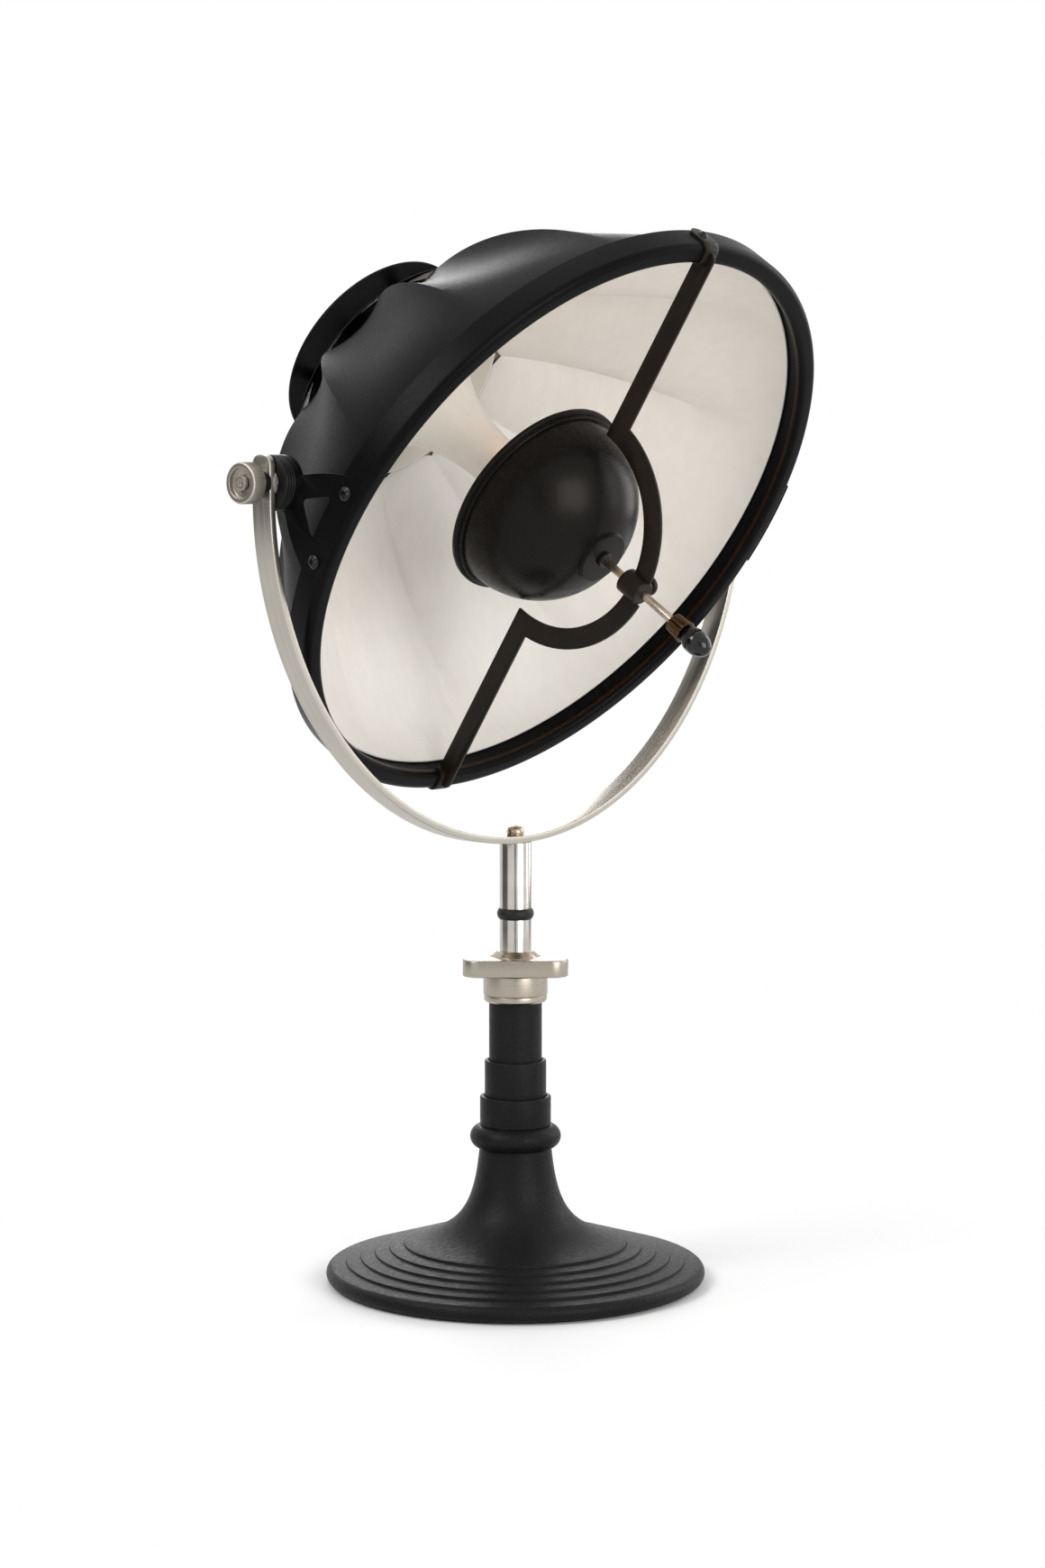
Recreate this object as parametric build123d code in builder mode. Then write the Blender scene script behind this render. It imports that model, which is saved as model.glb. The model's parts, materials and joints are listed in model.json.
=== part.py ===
from build123d import *
import os
from math import atan, cos, degrees, hypot, radians, sin, sqrt

os.makedirs("parts", exist_ok=True)

# Tabletop searchlight lamp.  Millimetres and degrees, +Z up, the front of the head towards -Y.
# The origin is the middle of the foot, on the surface that the lamp stands on.

# ------------------------------------------------------------------ fits and clearances
running_fit = 0.05  # radial play of a pair that turns or slides
seat_gap = 0.1  # play of a piece in its seat, both on the same body
face_gap = 0.3  # air between the faces of two bodies

# ------------------------------------------------------------------ base casting and pad
base_radius = 122.4
rim_radius = 5.1  # half-round edge of the casting
shoulder_width = 13.0  # from the widest line to the first terrace
terrace_count = 5
terrace_pitch = 9.28
terrace_riser = 1.3
terrace_slope = 0.17
terrace_rounding = 0.55
flare_step = 3.0  # tread between the last terrace and the flare
flare_foot_slope = 0.27
flare_foot_pull = 0.73  # how far the flare runs flat before it rises
flare_neck_pull = 0.65  # how far the neck runs upright before it spreads
flare_neck_lean = 0.1
neck_radius = 23.2
casting_height = 87.0
pad_thickness = 2.0
pad_sink = 1.0  # how deep the felt pad sits in the casting
pad_margin = 1.3
recess_radius = 26.0  # recess under the casting, for the column's nut
recess_depth = 17.0
casting_web = 10.0  # thickness of the casting under the column

# ------------------------------------------------------------------ column
ring_radius = 29.3
ring_height = 15.0
lower_sleeve_radius = 22.85
lower_sleeve_height = 18.9
upper_sleeve_radius = 19.8
upper_sleeve_height = 23.4
sleeve_rounding = 1.8
sleeve_sink = 1.0  # how deep each tube enters the one below
sleeve_groove = 0.6  # open ring left round it
tube_radius = 17.0
tube_bore_radius = 13.2
tube_exposed = 38.0
tube_floor = 8.0
foot_spigot_radius = 12.0
foot_washer_thickness = 2.0
foot_washer_radius = 22.0
foot_nut_thickness = 8.0
foot_nut_flats = 36.0
top_spigot_radius = 15.5
top_spigot_length = 15.7
guide_bush_length = 28.0

# ------------------------------------------------------------------ collar, collet and clamp nut
seat_ring_radius = 20.25
seat_ring_height = 4.5
seat_ring_chamfer = 1.2
collar_radius = 20.7
collar_height = 13.5
collar_neck_radius = 17.5
collar_neck_height = 8.7
collar_edge = 0.6
nut_inradius = 24.0  # middle of the three-sided nut to each flat
nut_corner_radius = 10.75
nut_height = 11.0
nut_chamfer = 0.8
nut_lip = 2.3  # thickness of the lip that presses the collet
nut_facing = 221.7  # bearing of one flat's outward side, from +X towards +Y
collet_body_radius = 14.0
collet_flange_radius = 15.75
collet_flange_height = 2.6
collet_cone_radius = 11.45
collet_cone_height = 3.5
collet_body_length = 10.0

# ------------------------------------------------------------------ stem and yoke
stem_radius = 10.2
stem_bottom = 64.0
stem_bore_radius = 6.0
stem_plug = 23.0  # solid top of the stem, tapped for the yoke's screw
stem_foot_radius = 9.0
stem_foot_length = 16.0
stem_clip_thickness = 2.0
stem_clip_radius = 11.5
stem_ring_height = 7.3
stem_ring_swell = 1.6
stem_ring_level = 239.05
pivot_height = 516.0
yoke_drop = 7.2  # middle of the yoke's bend below the pivot
yoke_thickness = 4.5
yoke_width = 15.1
yoke_end = 16.5  # arm ends above the pivot
yoke_corner = 6.0
yoke_edge = 0.5
yoke_screw_radius = 5.5
yoke_screw_height = 5.7
yoke_screw_shank = 3.0
yoke_screw_socket = 1.9
yoke_screw_length = 20.0

# ------------------------------------------------------------------ head: hoop and shade
head_tilt = 33.42  # the head's axis below the horizontal
bead_forward = 49.25  # rear of the hoop's inner lip, in front of the pivot
hoop_radius = 205.0
hoop_face = 12.66  # width of the hoop's front face
hoop_thickness = 1.8
hoop_front = 6.33  # hoop's front face ahead of the lip's rear
hoop_depth = 12.25  # hoop's rear edge behind it
hoop_corner = 4.5
hoop_lip_corner = 3.5
band_inset = 8.0  # inner band, which holds the shade, inside the hoop's outer wall
band_depth = 16.25
panel_count = 12
shade_front_depth = 10.0  # depths are measured back from the rear of the hoop's lip
shade_rear_depth = 163.0
shade_closing = 24.0  # behind the rear edge, where the ridges' curve would meet the axis
shade_power = 1.47
panel_sag = 17.0
panel_sag_at = 0.7  # share of the depth at which the panels sag most
panel_sag_rear = 9.5
panel_sag_onset = 1.6  # how gently the hollow starts behind the hoop
panel_crease = 0.05  # least hollow of a panel, at the front edge
shell_thickness = 1.0
lining_thickness = 1.0
shade_sections = 8

# ------------------------------------------------------------------ head: bulkhead, cone, lamp, rear dish
neck_wall = 1.2
neck_overlap = 3.5  # how far the neck enters the shade
neck_reach = 11.8  # from the shade's rear edge to the bulkhead's rear face
bulkhead_thickness = 1.2
skirt_radius = 86.5
skirt_shoulder = 0.3  # from the neck's outside to the foot of the skirt
skirt_rise = 10.3
wire_hole_radius = 6.5
cone_tip_radius = 16.0
cone_thickness = 1.2
cone_tip_forward = 12.0  # cone's tip in front of the pivot
cone_throat_back = 11.0  # where the cone starts to spread
cone_throat_pull = 0.6
cone_mouth_pull = 0.565
cone_mouth_rise = 0.165
lampholder_length = 33.0
lampholder_forward = 8.0
lamp_cap_radius = 7.0
lamp_cap_length = 23.0
lamp_neck_radius = 10.0
lamp_globe_radius = 20.0
lamp_globe_forward = 33.0
dish_radius = 69.9
dish_standoff = 20.45  # from the bulkhead's rear face to the dish's rim
dish_hollow = 14.0
dish_thickness = 1.5
post_radius = 4.0
post_circle = 45.0
post_count = 3
post_screw_radius = 3.6
post_screw_height = 2.4
gland_radius = 9.0
gland_thickness = 4.0
gland_bush_radius = 5.0
gland_bush_length = 12.0
gland_bore_radius = 3.2
gland_nut_thickness = 3.0

# ------------------------------------------------------------------ crossbar, clips and sleeve
bar_thickness = 2.0
bar_width = 13.5
bar_front = 12.3  # bar's front edge ahead of the hoop's lip
bar_arc_radius = 79.0
bar_end_inset = 4.0
bar_end_rounding = 4.0
clip_width = 12.0
clip_thickness = 1.6
clip_tail_rounding = 5.5
clip_screw_depth = 4.3
sleeve_radius = 8.2
sleeve_back = 60.6  # ahead of the hoop's lip
sleeve_front = 77.3
sleeve_chamfer = 0.8
screw_head_radius = 3.4
screw_head_height = 2.0
screw_shank_radius = 1.6
screw_socket_radius = 1.2

# ------------------------------------------------------------------ shield, its rod and ball
rod_radius = 2.6
cup_radius = 62.5
cup_thickness = 1.2
cup_apex_ahead = 38.1  # cup's top ahead of the hoop's lip
cup_flange_radius = 67.1
cup_flange_height = 3.2
cup_step_radius = 64.6
cup_step_height = 2.6
cup_skirt = 4.0  # straight wall between the dome and the flange's lower face
cup_boss_radius = 17.5
cup_boss_height = 0.8
grommet_radius = 5.0
grommet_height = 2.4
rod_nut_flats = 8.0
rod_nut_thickness = 4.0
rod_tail = 2.0
ferrule_back = 106.1
ferrule_front = 118.0
ferrule_back_radius = 6.15
ferrule_front_radius = 7.5
ferrule_flutes = 14
flute_radius = 0.9
ball_radius = 8.0
ball_centre = 127.4
ball_tip = 138.8
ball_bore_depth = 8.0
thumb_shank_radius = 2.0
thumb_head_radius = 6.0
thumb_head_back = 12.0
thumb_head_thickness = 4.0

# ------------------------------------------------------------------ brackets, pivots and knobs
# The bracket's outline is seen from the side, each point up across the head and forward along it.
bracket_thickness = 2.2
bracket_top = [(29.0, 54.4), (33.0, 43.0), (24.2, 26.3), (12.0, 10.0)]
bracket_bottom = [(-31.0, 54.4), (-36.4, 39.5), (-25.9, 22.3), (-13.3, 9.6)]
bracket_corner_rounding = 1.5
bracket_hole = [(17.0, 39.0), (-17.0, 39.0), (0.5, 18.3)]
bracket_hole_rounding = 3.0
bracket_boss_radius = 16.5
bracket_boss_proud = 5.5  # boss's face outside the hoop
bracket_boss_thickness = 6.0
bracket_screws_up = (22.5, -25.2)
bracket_screw_depth = 3.65
stud_radius = 5.0
stud_head_radius = 8.0
stud_head_thickness = 3.0
spacer_radius = 16.6
spacer_length = 8.0
spacer_grooves = 3
spacer_groove_depth = 1.2
spacer_groove_width = 1.6
washer_radius = 9.5
washer_thickness = 0.5
knob_bush_radius = 9.0
knob_bush_length = 7.0
knob_radius = 12.25
knob_length = 9.7
knob_edge = 0.8
knob_recess_radius = 8.6
knob_recess_depth = 2.6
knob_web = 2.9
knob_screw_radius = 4.4
knob_screw_height = 2.2
knob_screw_shank = 2.0
knob_screw_socket = 1.7
knob_screw_length = 9.0

# ------------------------------------------------------------------ levels up the stand
underside = pad_thickness - pad_sink
recess_top = underside + recess_depth
tube_seat = recess_top + casting_web
ring_top = casting_height + ring_height
lower_sleeve_top = ring_top + lower_sleeve_height
upper_sleeve_top = lower_sleeve_top + upper_sleeve_height
tube_top = upper_sleeve_top + tube_exposed
collar_bottom = tube_top + seat_ring_height
collar_top = collar_bottom + collar_height
collar_neck_top = collar_top + collar_neck_height
nut_top = collar_neck_top + collet_flange_height
stem_foot_top = stem_bottom + stem_foot_length
yoke_centre = pivot_height - yoke_drop
bracket_boss_face = hoop_radius + bracket_boss_proud
spacer_end = bracket_boss_face + spacer_length
yoke_inner_radius = spacer_end + washer_thickness + face_gap
yoke_outer_radius = yoke_inner_radius + yoke_thickness
yoke_bottom = yoke_centre - yoke_outer_radius
yoke_floor = yoke_centre - yoke_inner_radius

# ------------------------------------------------------------------ places along the head's axis
hoop_lip_radius = hoop_radius - hoop_face
band_radius = hoop_radius - band_inset
band_inner_radius = band_radius - hoop_thickness
shade_radius = band_inner_radius - seat_gap
shade_reach = shade_rear_depth - shade_front_depth + shade_closing
neck_front_depth = shade_rear_depth - neck_overlap
bulkhead_back = bead_forward - shade_rear_depth - neck_reach
bulkhead_face = bulkhead_back + bulkhead_thickness
cup_apex = bead_forward + cup_apex_ahead
cup_centre = cup_apex - cup_radius
cup_rim = cup_centre - cup_skirt
boss_top = cup_apex + cup_boss_height
dish_rim = bulkhead_back - dish_standoff
dish_sphere = (dish_radius**2 + dish_hollow**2) / (2 * dish_hollow)
dish_centre = dish_rim - dish_hollow + dish_sphere

# ------------------------------------------------------------------ places out along the pivot
knob_bush_end = yoke_outer_radius + knob_bush_length
knob_start = knob_bush_end + face_gap
knob_end = knob_start + knob_length
knob_floor = knob_end - knob_recess_depth
stud_end = knob_floor - knob_web - face_gap

# ------------------------------------------------------------------ planes and axes
pivot_plane = Plane(origin=(0, 0, pivot_height), x_dir=(1, 0, 0), z_dir=(0, -1, 0))
pivot_axis = Axis((0, 0, pivot_height), (1, 0, 0))
head = Plane(
    origin=(0, 0, pivot_height),
    x_dir=(1, 0, 0),
    z_dir=(0, -cos(radians(head_tilt)), -sin(radians(head_tilt))),
)
head_axis = Axis(head.origin, head.z_dir)


def meridian(angle):
    """Half-plane through the head's axis: x runs out from the axis, y runs forward along it."""
    radial = head.x_dir * cos(radians(angle)) + head.y_dir * sin(radians(angle))
    return Plane(origin=head.origin, x_dir=radial, z_dir=radial.cross(head.z_dir))


def radial_plane(angle, depth, radius):
    """Plane facing out from the head's axis, with its origin at this radius and depth."""
    spoke = meridian(angle)
    start = spoke.from_local_coords(Vector(radius, bead_forward - depth, 0))
    return Plane(origin=start, x_dir=head.z_dir, z_dir=spoke.x_dir)


def turned(points, plane=Plane.XZ, axis=Axis.Z, mode=Mode.ADD):
    """Solid of revolution of a straight-sided half-profile."""
    with BuildSketch(plane) as half_profile:
        with BuildLine():
            Polyline(*points, close=True)
        make_face()
    revolve(half_profile.sketch, axis=axis, mode=mode)


def keep(piece, name):
    """Label a finished piece and write its file."""
    piece.part.label = name
    export_step(piece.part, f"parts/{name}.step")


# ================================================================== base
edge_radius = base_radius - rim_radius
pad_radius = edge_radius - pad_margin
tread_angle = atan(terrace_slope)
rim_top = (edge_radius + rim_radius * sin(tread_angle), underside + rim_radius * (1 + cos(tread_angle)))


def terrace_line():
    """Treads and risers of the base, from its rounded edge in to the foot of the flare."""
    points = [rim_top]
    radius, level = rim_top
    for step in range(terrace_count):
        riser_radius = base_radius - shoulder_width - step * terrace_pitch
        level += (radius - riser_radius) * terrace_slope
        points.append((riser_radius, level))
        level += terrace_riser
        points.append((riser_radius, level))
        radius = riser_radius
    points.append((radius - flare_step, level + flare_step * flare_foot_slope))
    return points


terraces = terrace_line()
flare_foot = terraces[-1]
flare_width = flare_foot[0] - neck_radius
flare_rise = casting_height - flare_foot[1]

with BuildPart() as base_casting:
    with BuildSketch(Plane.XZ):
        with BuildLine():
            CenterArc((edge_radius, underside + rim_radius), rim_radius, -90, 180 - degrees(tread_angle))
            FilletPolyline(*terraces, radius=terrace_rounding)
            Bezier(
                flare_foot,
                (
                    flare_foot[0] - flare_foot_pull * flare_width,
                    flare_foot[1] + flare_foot_pull * flare_width * flare_foot_slope,
                ),
                (
                    neck_radius + flare_neck_pull * flare_rise * flare_neck_lean,
                    casting_height - flare_neck_pull * flare_rise,
                ),
                (neck_radius, casting_height),
            )
            Polyline(
                (neck_radius, casting_height),
                (tube_radius + seat_gap, casting_height),
                (tube_radius + seat_gap, tube_seat),
                (foot_spigot_radius + seat_gap, tube_seat),
                (foot_spigot_radius + seat_gap, recess_top),
                (recess_radius, recess_top),
                (recess_radius, pad_thickness),
                (pad_radius + seat_gap, pad_thickness),
                (pad_radius + seat_gap, underside),
                (edge_radius, underside),
            )
        make_face()
    revolve(axis=Axis.Z)
keep(base_casting, "base_casting")

with BuildPart() as base_pad:
    with BuildSketch():
        Circle(pad_radius)
    extrude(amount=pad_thickness)
keep(base_pad, "base_pad")

# ================================================================== column
ring_bead = ring_height / 2

with BuildPart() as base_ring:
    with BuildSketch(Plane.XZ):
        with BuildLine():
            Polyline(
                (ring_radius - ring_bead, ring_top),
                (tube_radius + seat_gap, ring_top),
                (tube_radius + seat_gap, casting_height),
                (ring_radius - ring_bead, casting_height),
            )
            ThreePointArc(
                (ring_radius - ring_bead, casting_height),
                (ring_radius, casting_height + ring_bead),
                (ring_radius - ring_bead, ring_top),
            )
        make_face()
    revolve(axis=Axis.Z)
keep(base_ring, "base_ring")


def outer_top_edge(piece):
    """The outermost circle on a turned piece's top face."""
    return piece.faces().sort_by(Axis.Z)[-1].edges().sort_by(SortBy.LENGTH)[-1]


with BuildPart() as lower_sleeve:
    turned(
        [
            (tube_radius + seat_gap, ring_top),
            (lower_sleeve_radius, ring_top),
            (lower_sleeve_radius, lower_sleeve_top),
            (upper_sleeve_radius + sleeve_groove, lower_sleeve_top),
            (upper_sleeve_radius + sleeve_groove, lower_sleeve_top - sleeve_sink),
            (tube_radius + seat_gap, lower_sleeve_top - sleeve_sink),
        ]
    )
    ledge = lower_sleeve_radius - upper_sleeve_radius
    fillet(outer_top_edge(lower_sleeve), min(sleeve_rounding, ledge - 2 * sleeve_groove))
keep(lower_sleeve, "lower_sleeve")

with BuildPart() as upper_sleeve:
    turned(
        [
            (tube_radius + seat_gap, lower_sleeve_top - sleeve_sink),
            (upper_sleeve_radius, lower_sleeve_top - sleeve_sink),
            (upper_sleeve_radius, upper_sleeve_top),
            (tube_radius + sleeve_groove, upper_sleeve_top),
            (tube_radius + sleeve_groove, upper_sleeve_top - sleeve_sink),
            (tube_radius + seat_gap, upper_sleeve_top - sleeve_sink),
        ]
    )
    ledge = upper_sleeve_radius - tube_radius
    fillet(outer_top_edge(upper_sleeve), min(sleeve_rounding, ledge - 2 * sleeve_groove))
keep(upper_sleeve, "upper_sleeve")

foot_washer_bottom = recess_top - foot_washer_thickness
foot_nut_bottom = foot_washer_bottom - foot_nut_thickness
top_spigot_end = tube_top + top_spigot_length

with BuildPart() as column_tube:
    turned(
        [
            (0, foot_nut_bottom),
            (foot_spigot_radius, foot_nut_bottom),
            (foot_spigot_radius, tube_seat),
            (tube_radius, tube_seat),
            (tube_radius, tube_top),
            (top_spigot_radius, tube_top),
            (top_spigot_radius, top_spigot_end),
            (tube_bore_radius, top_spigot_end),
            (tube_bore_radius, tube_seat + tube_floor),
            (0, tube_seat + tube_floor),
        ]
    )
keep(column_tube, "column_tube")

with BuildPart() as column_washer:
    with BuildSketch(Plane.XY.offset(foot_washer_bottom)):
        Circle(foot_washer_radius)
        Circle(foot_spigot_radius + seat_gap, mode=Mode.SUBTRACT)
    extrude(amount=foot_washer_thickness)
keep(column_washer, "column_washer")

with BuildPart() as column_nut:
    with BuildSketch(Plane.XY.offset(foot_nut_bottom)):
        RegularPolygon(foot_nut_flats / 2, 6, major_radius=False)
        Circle(foot_spigot_radius + seat_gap, mode=Mode.SUBTRACT)
    extrude(amount=foot_nut_thickness)
keep(column_nut, "column_nut")

with BuildPart() as guide_bush:
    with BuildSketch(Plane.XY.offset(top_spigot_end - guide_bush_length)):
        Circle(tube_bore_radius)
        Circle(stem_radius + running_fit, mode=Mode.SUBTRACT)
    extrude(amount=guide_bush_length)
keep(guide_bush, "guide_bush")

# ================================================================== collar, collet and clamp nut
collar_shelf = top_spigot_end + seat_gap
collet_bottom = collar_neck_top - collet_body_length

with BuildPart() as collar_seat:
    turned(
        [
            (top_spigot_radius + seat_gap, tube_top),
            (seat_ring_radius - seat_ring_chamfer, tube_top),
            (seat_ring_radius, tube_top + seat_ring_chamfer),
            (seat_ring_radius, collar_bottom),
            (top_spigot_radius + seat_gap, collar_bottom),
        ]
    )
keep(collar_seat, "collar_seat")

with BuildPart() as collar:
    turned(
        [
            (top_spigot_radius + seat_gap, collar_bottom),
            (collar_radius - collar_edge, collar_bottom),
            (collar_radius, collar_bottom + collar_edge),
            (collar_radius, collar_top - collar_edge),
            (collar_radius - collar_edge, collar_top),
            (collar_neck_radius, collar_top),
            (collar_neck_radius, collar_neck_top),
            (collet_body_radius + seat_gap, collar_neck_top),
            (collet_body_radius + seat_gap, collar_shelf),
            (top_spigot_radius + seat_gap, collar_shelf),
        ]
    )
keep(collar, "collar")

with BuildPart() as collet:
    turned(
        [
            (stem_radius + running_fit, collet_bottom),
            (collet_body_radius, collet_bottom),
            (collet_body_radius, collar_neck_top),
            (collet_flange_radius, collar_neck_top),
            (collet_flange_radius, nut_top),
            (collet_cone_radius, nut_top + collet_cone_height),
            (stem_radius + running_fit, nut_top + collet_cone_height),
        ]
    )
keep(collet, "collet")

with BuildPart() as clamp_nut:
    with BuildSketch(Plane.XY.offset(nut_top - nut_height)) as nut_outline:
        RegularPolygon(nut_inradius, 3, major_radius=False, rotation=nut_facing - 180)
        fillet(nut_outline.vertices(), nut_corner_radius)
        Circle(collar_neck_radius + running_fit, mode=Mode.SUBTRACT)
    extrude(amount=nut_height)
    with BuildSketch(Plane.XY.offset(nut_top - nut_lip)):
        Circle(collar_neck_radius + nut_lip)
        Circle(collet_flange_radius + face_gap, mode=Mode.SUBTRACT)
    extrude(amount=nut_lip)
    nut_faces = clamp_nut.faces().filter_by(Axis.Z).sort_by(Axis.Z)
    chamfer(nut_faces[-1].outer_wire().edges(), nut_chamfer)
    chamfer(nut_faces[0].outer_wire().edges(), nut_chamfer / 2)
keep(clamp_nut, "clamp_nut")

# ================================================================== stem and its guide
with BuildPart() as stem_guide:
    with BuildSketch(Plane.XY.offset(stem_bottom + face_gap)):
        Circle(tube_bore_radius - running_fit)
        Circle(stem_foot_radius + running_fit, mode=Mode.SUBTRACT)
    extrude(amount=stem_foot_length - 2 * face_gap)
keep(stem_guide, "stem_guide")

with BuildPart() as stem_clip:
    turned(
        [
            (stem_bore_radius - stem_clip_thickness, stem_bottom - stem_clip_thickness),
            (stem_clip_radius, stem_bottom - stem_clip_thickness),
            (stem_clip_radius, stem_bottom),
            (stem_bore_radius - seat_gap, stem_bottom),
            (stem_bore_radius - seat_gap, stem_bottom + stem_clip_thickness),
            (stem_bore_radius - stem_clip_thickness, stem_bottom + stem_clip_thickness),
        ]
    )
keep(stem_clip, "stem_clip")

stem_bore_top = yoke_bottom - stem_plug
yoke_cylinder = Plane(origin=(0, 0, yoke_centre), x_dir=(1, 0, 0), z_dir=(0, 1, 0))

with BuildPart() as stem:
    turned(
        [
            (stem_bore_radius, stem_bottom),
            (stem_foot_radius, stem_bottom),
            (stem_foot_radius, stem_foot_top),
            (stem_radius, stem_foot_top),
            (stem_radius, yoke_floor),
            (yoke_screw_shank, yoke_floor),
            (yoke_screw_shank, stem_bore_top),
            (stem_bore_radius, stem_bore_top),
        ]
    )
    with Locations(yoke_cylinder):
        Cylinder(yoke_outer_radius, 4 * stem_radius, mode=Mode.SUBTRACT)
keep(stem, "stem")

with BuildPart() as stem_ring:
    with BuildSketch(Plane.XZ):
        with BuildLine():
            Line(
                (stem_radius, stem_ring_level + stem_ring_height / 2),
                (stem_radius, stem_ring_level - stem_ring_height / 2),
            )
            ThreePointArc(
                (stem_radius, stem_ring_level - stem_ring_height / 2),
                (stem_radius + stem_ring_swell, stem_ring_level),
                (stem_radius, stem_ring_level + stem_ring_height / 2),
            )
        make_face()
    revolve(axis=Axis.Z)
keep(stem_ring, "stem_ring")

# ================================================================== yoke
arm_top = pivot_height + yoke_end

with BuildPart() as yoke:
    with BuildSketch(Plane.XZ):
        with BuildLine():
            ThreePointArc((-yoke_outer_radius, yoke_centre), (0, yoke_bottom), (yoke_outer_radius, yoke_centre))
            Polyline(
                (yoke_outer_radius, yoke_centre),
                (yoke_outer_radius, arm_top),
                (yoke_inner_radius, arm_top),
                (yoke_inner_radius, yoke_centre),
            )
            ThreePointArc((yoke_inner_radius, yoke_centre), (0, yoke_floor), (-yoke_inner_radius, yoke_centre))
            Polyline(
                (-yoke_inner_radius, yoke_centre),
                (-yoke_inner_radius, arm_top),
                (-yoke_outer_radius, arm_top),
                (-yoke_outer_radius, yoke_centre),
            )
        make_face()
    extrude(amount=yoke_width / 2, both=True)
    fillet(yoke.edges().filter_by(Axis.X).group_by(Axis.Z)[-1], yoke_corner)
    yoke_sides = yoke.faces().filter_by(Axis.Y)
    chamfer(yoke_sides.edges().filter_by(Axis.X, reverse=True), yoke_edge)
    with BuildSketch(Plane(origin=pivot_axis.position, z_dir=(1, 0, 0))):
        Circle(stud_radius + running_fit)
    extrude(amount=yoke_outer_radius + face_gap, both=True, mode=Mode.SUBTRACT)
    with BuildSketch(Plane.XY.offset(yoke_bottom - yoke_thickness)):
        Circle(yoke_screw_shank + seat_gap)
    extrude(amount=4 * yoke_thickness, mode=Mode.SUBTRACT)
keep(yoke, "yoke")

screw_seat = yoke_centre - sqrt(yoke_inner_radius**2 - yoke_screw_radius**2)

with BuildPart() as yoke_screw:
    with BuildSketch(Plane.XZ):
        with BuildLine():
            Polyline(
                (yoke_screw_socket, screw_seat + yoke_screw_height),
                (yoke_screw_socket, screw_seat + yoke_screw_height / 2),
                (0, screw_seat + yoke_screw_height / 2),
                (0, screw_seat - yoke_screw_length),
                (yoke_screw_shank, screw_seat - yoke_screw_length),
                (yoke_screw_shank, screw_seat),
                (yoke_screw_radius, screw_seat),
                (yoke_screw_radius, screw_seat + yoke_screw_height / 3),
            )
            ThreePointArc(
                (yoke_screw_radius, screw_seat + yoke_screw_height / 3),
                ((yoke_screw_radius + yoke_screw_socket) / 2 + 0.5, screw_seat + 0.85 * yoke_screw_height),
                (yoke_screw_socket, screw_seat + yoke_screw_height),
            )
        make_face()
    revolve(axis=Axis.Z)
keep(yoke_screw, "yoke_screw")


def both_sides(points):
    """Turned piece on the pivot's axis at the right arm, with its mirror image at the left."""
    turned(points, plane=pivot_plane, axis=pivot_axis)
    mirror(about=Plane.YZ)


with BuildPart() as pivot_washers:
    both_sides(
        [
            (yoke_inner_radius - washer_thickness, stud_radius + running_fit),
            (yoke_inner_radius - washer_thickness, washer_radius),
            (yoke_inner_radius, washer_radius),
            (yoke_inner_radius, stud_radius + running_fit),
        ]
    )
keep(pivot_washers, "pivot_washers")

with BuildPart() as knob_bushes:
    both_sides(
        [
            (yoke_outer_radius, stud_radius + running_fit),
            (yoke_outer_radius, knob_bush_radius),
            (knob_bush_end, knob_bush_radius),
            (knob_bush_end, stud_radius + running_fit),
        ]
    )
keep(knob_bushes, "knob_bushes")

# ================================================================== head: rim hoop
clip_angles = {"top": 90, "bottom": 270}
clip_seat = hoop_radius + clip_thickness


def bracket_screw_angle(side, up):
    """Angle round the hoop of a bracket screw at this height on the left or right side."""
    lift = degrees(atan(up / sqrt(hoop_radius**2 - up**2)))
    return lift if side > 0 else 180 - lift


bracket_screw_angles = [
    bracket_screw_angle(side, up)
    for side in (1, -1)
    for up in bracket_screws_up
]


def cut_screw_holes(angles, depth):
    """Round holes out through the hoop for the screws at these angles."""
    for angle in angles:
        with Locations(radial_plane(angle, depth, band_inner_radius - hoop_thickness)):
            Cylinder(
                screw_shank_radius + seat_gap / 2,
                hoop_radius - band_inner_radius + 2 * bracket_thickness,
                align=(Align.CENTER, Align.CENTER, Align.MIN),
                mode=Mode.SUBTRACT,
            )


def hoop_section(outset, rear):
    """Section of the hoop's channel, filled in and grown by this much: x out from the axis, y forward."""
    with BuildSketch() as section:
        with Locations((hoop_lip_radius - outset, rear)):
            Rectangle(
                hoop_radius - hoop_lip_radius + 2 * outset,
                bead_forward + hoop_front + outset - rear,
                align=(Align.MIN, Align.MIN),
            )
        fillet(
            section.vertices().group_by(Axis.Y)[-1].sort_by(Axis.X)[0],
            hoop_lip_corner + outset,
        )
        fillet(
            section.vertices().group_by(Axis.Y)[-1].sort_by(Axis.X)[-1],
            hoop_corner + outset,
        )
    return section.sketch


hoop_rear = bead_forward - hoop_depth
lip_clearance = [
    (0, 0),
    (hoop_lip_radius + hoop_thickness, 0),
    (hoop_lip_radius + hoop_thickness, bead_forward),
    (0, bead_forward),
]

with BuildPart() as rim_hoop:
    with BuildSketch(meridian(0)):
        add(hoop_section(0, hoop_rear))
        add(hoop_section(-hoop_thickness, 0), mode=Mode.SUBTRACT)
        with BuildLine():
            Polyline(*lip_clearance, close=True)
        make_face(mode=Mode.SUBTRACT)
        with Locations((band_inner_radius, bead_forward - band_depth)):
            Rectangle(
                hoop_thickness,
                band_depth + hoop_front - hoop_thickness / 2,
                align=(Align.MIN, Align.MIN),
            )
    revolve(axis=head_axis)
    cut_screw_holes(bracket_screw_angles, bracket_screw_depth)
    cut_screw_holes(clip_angles.values(), clip_screw_depth)
keep(rim_hoop, "rim_hoop")


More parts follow.
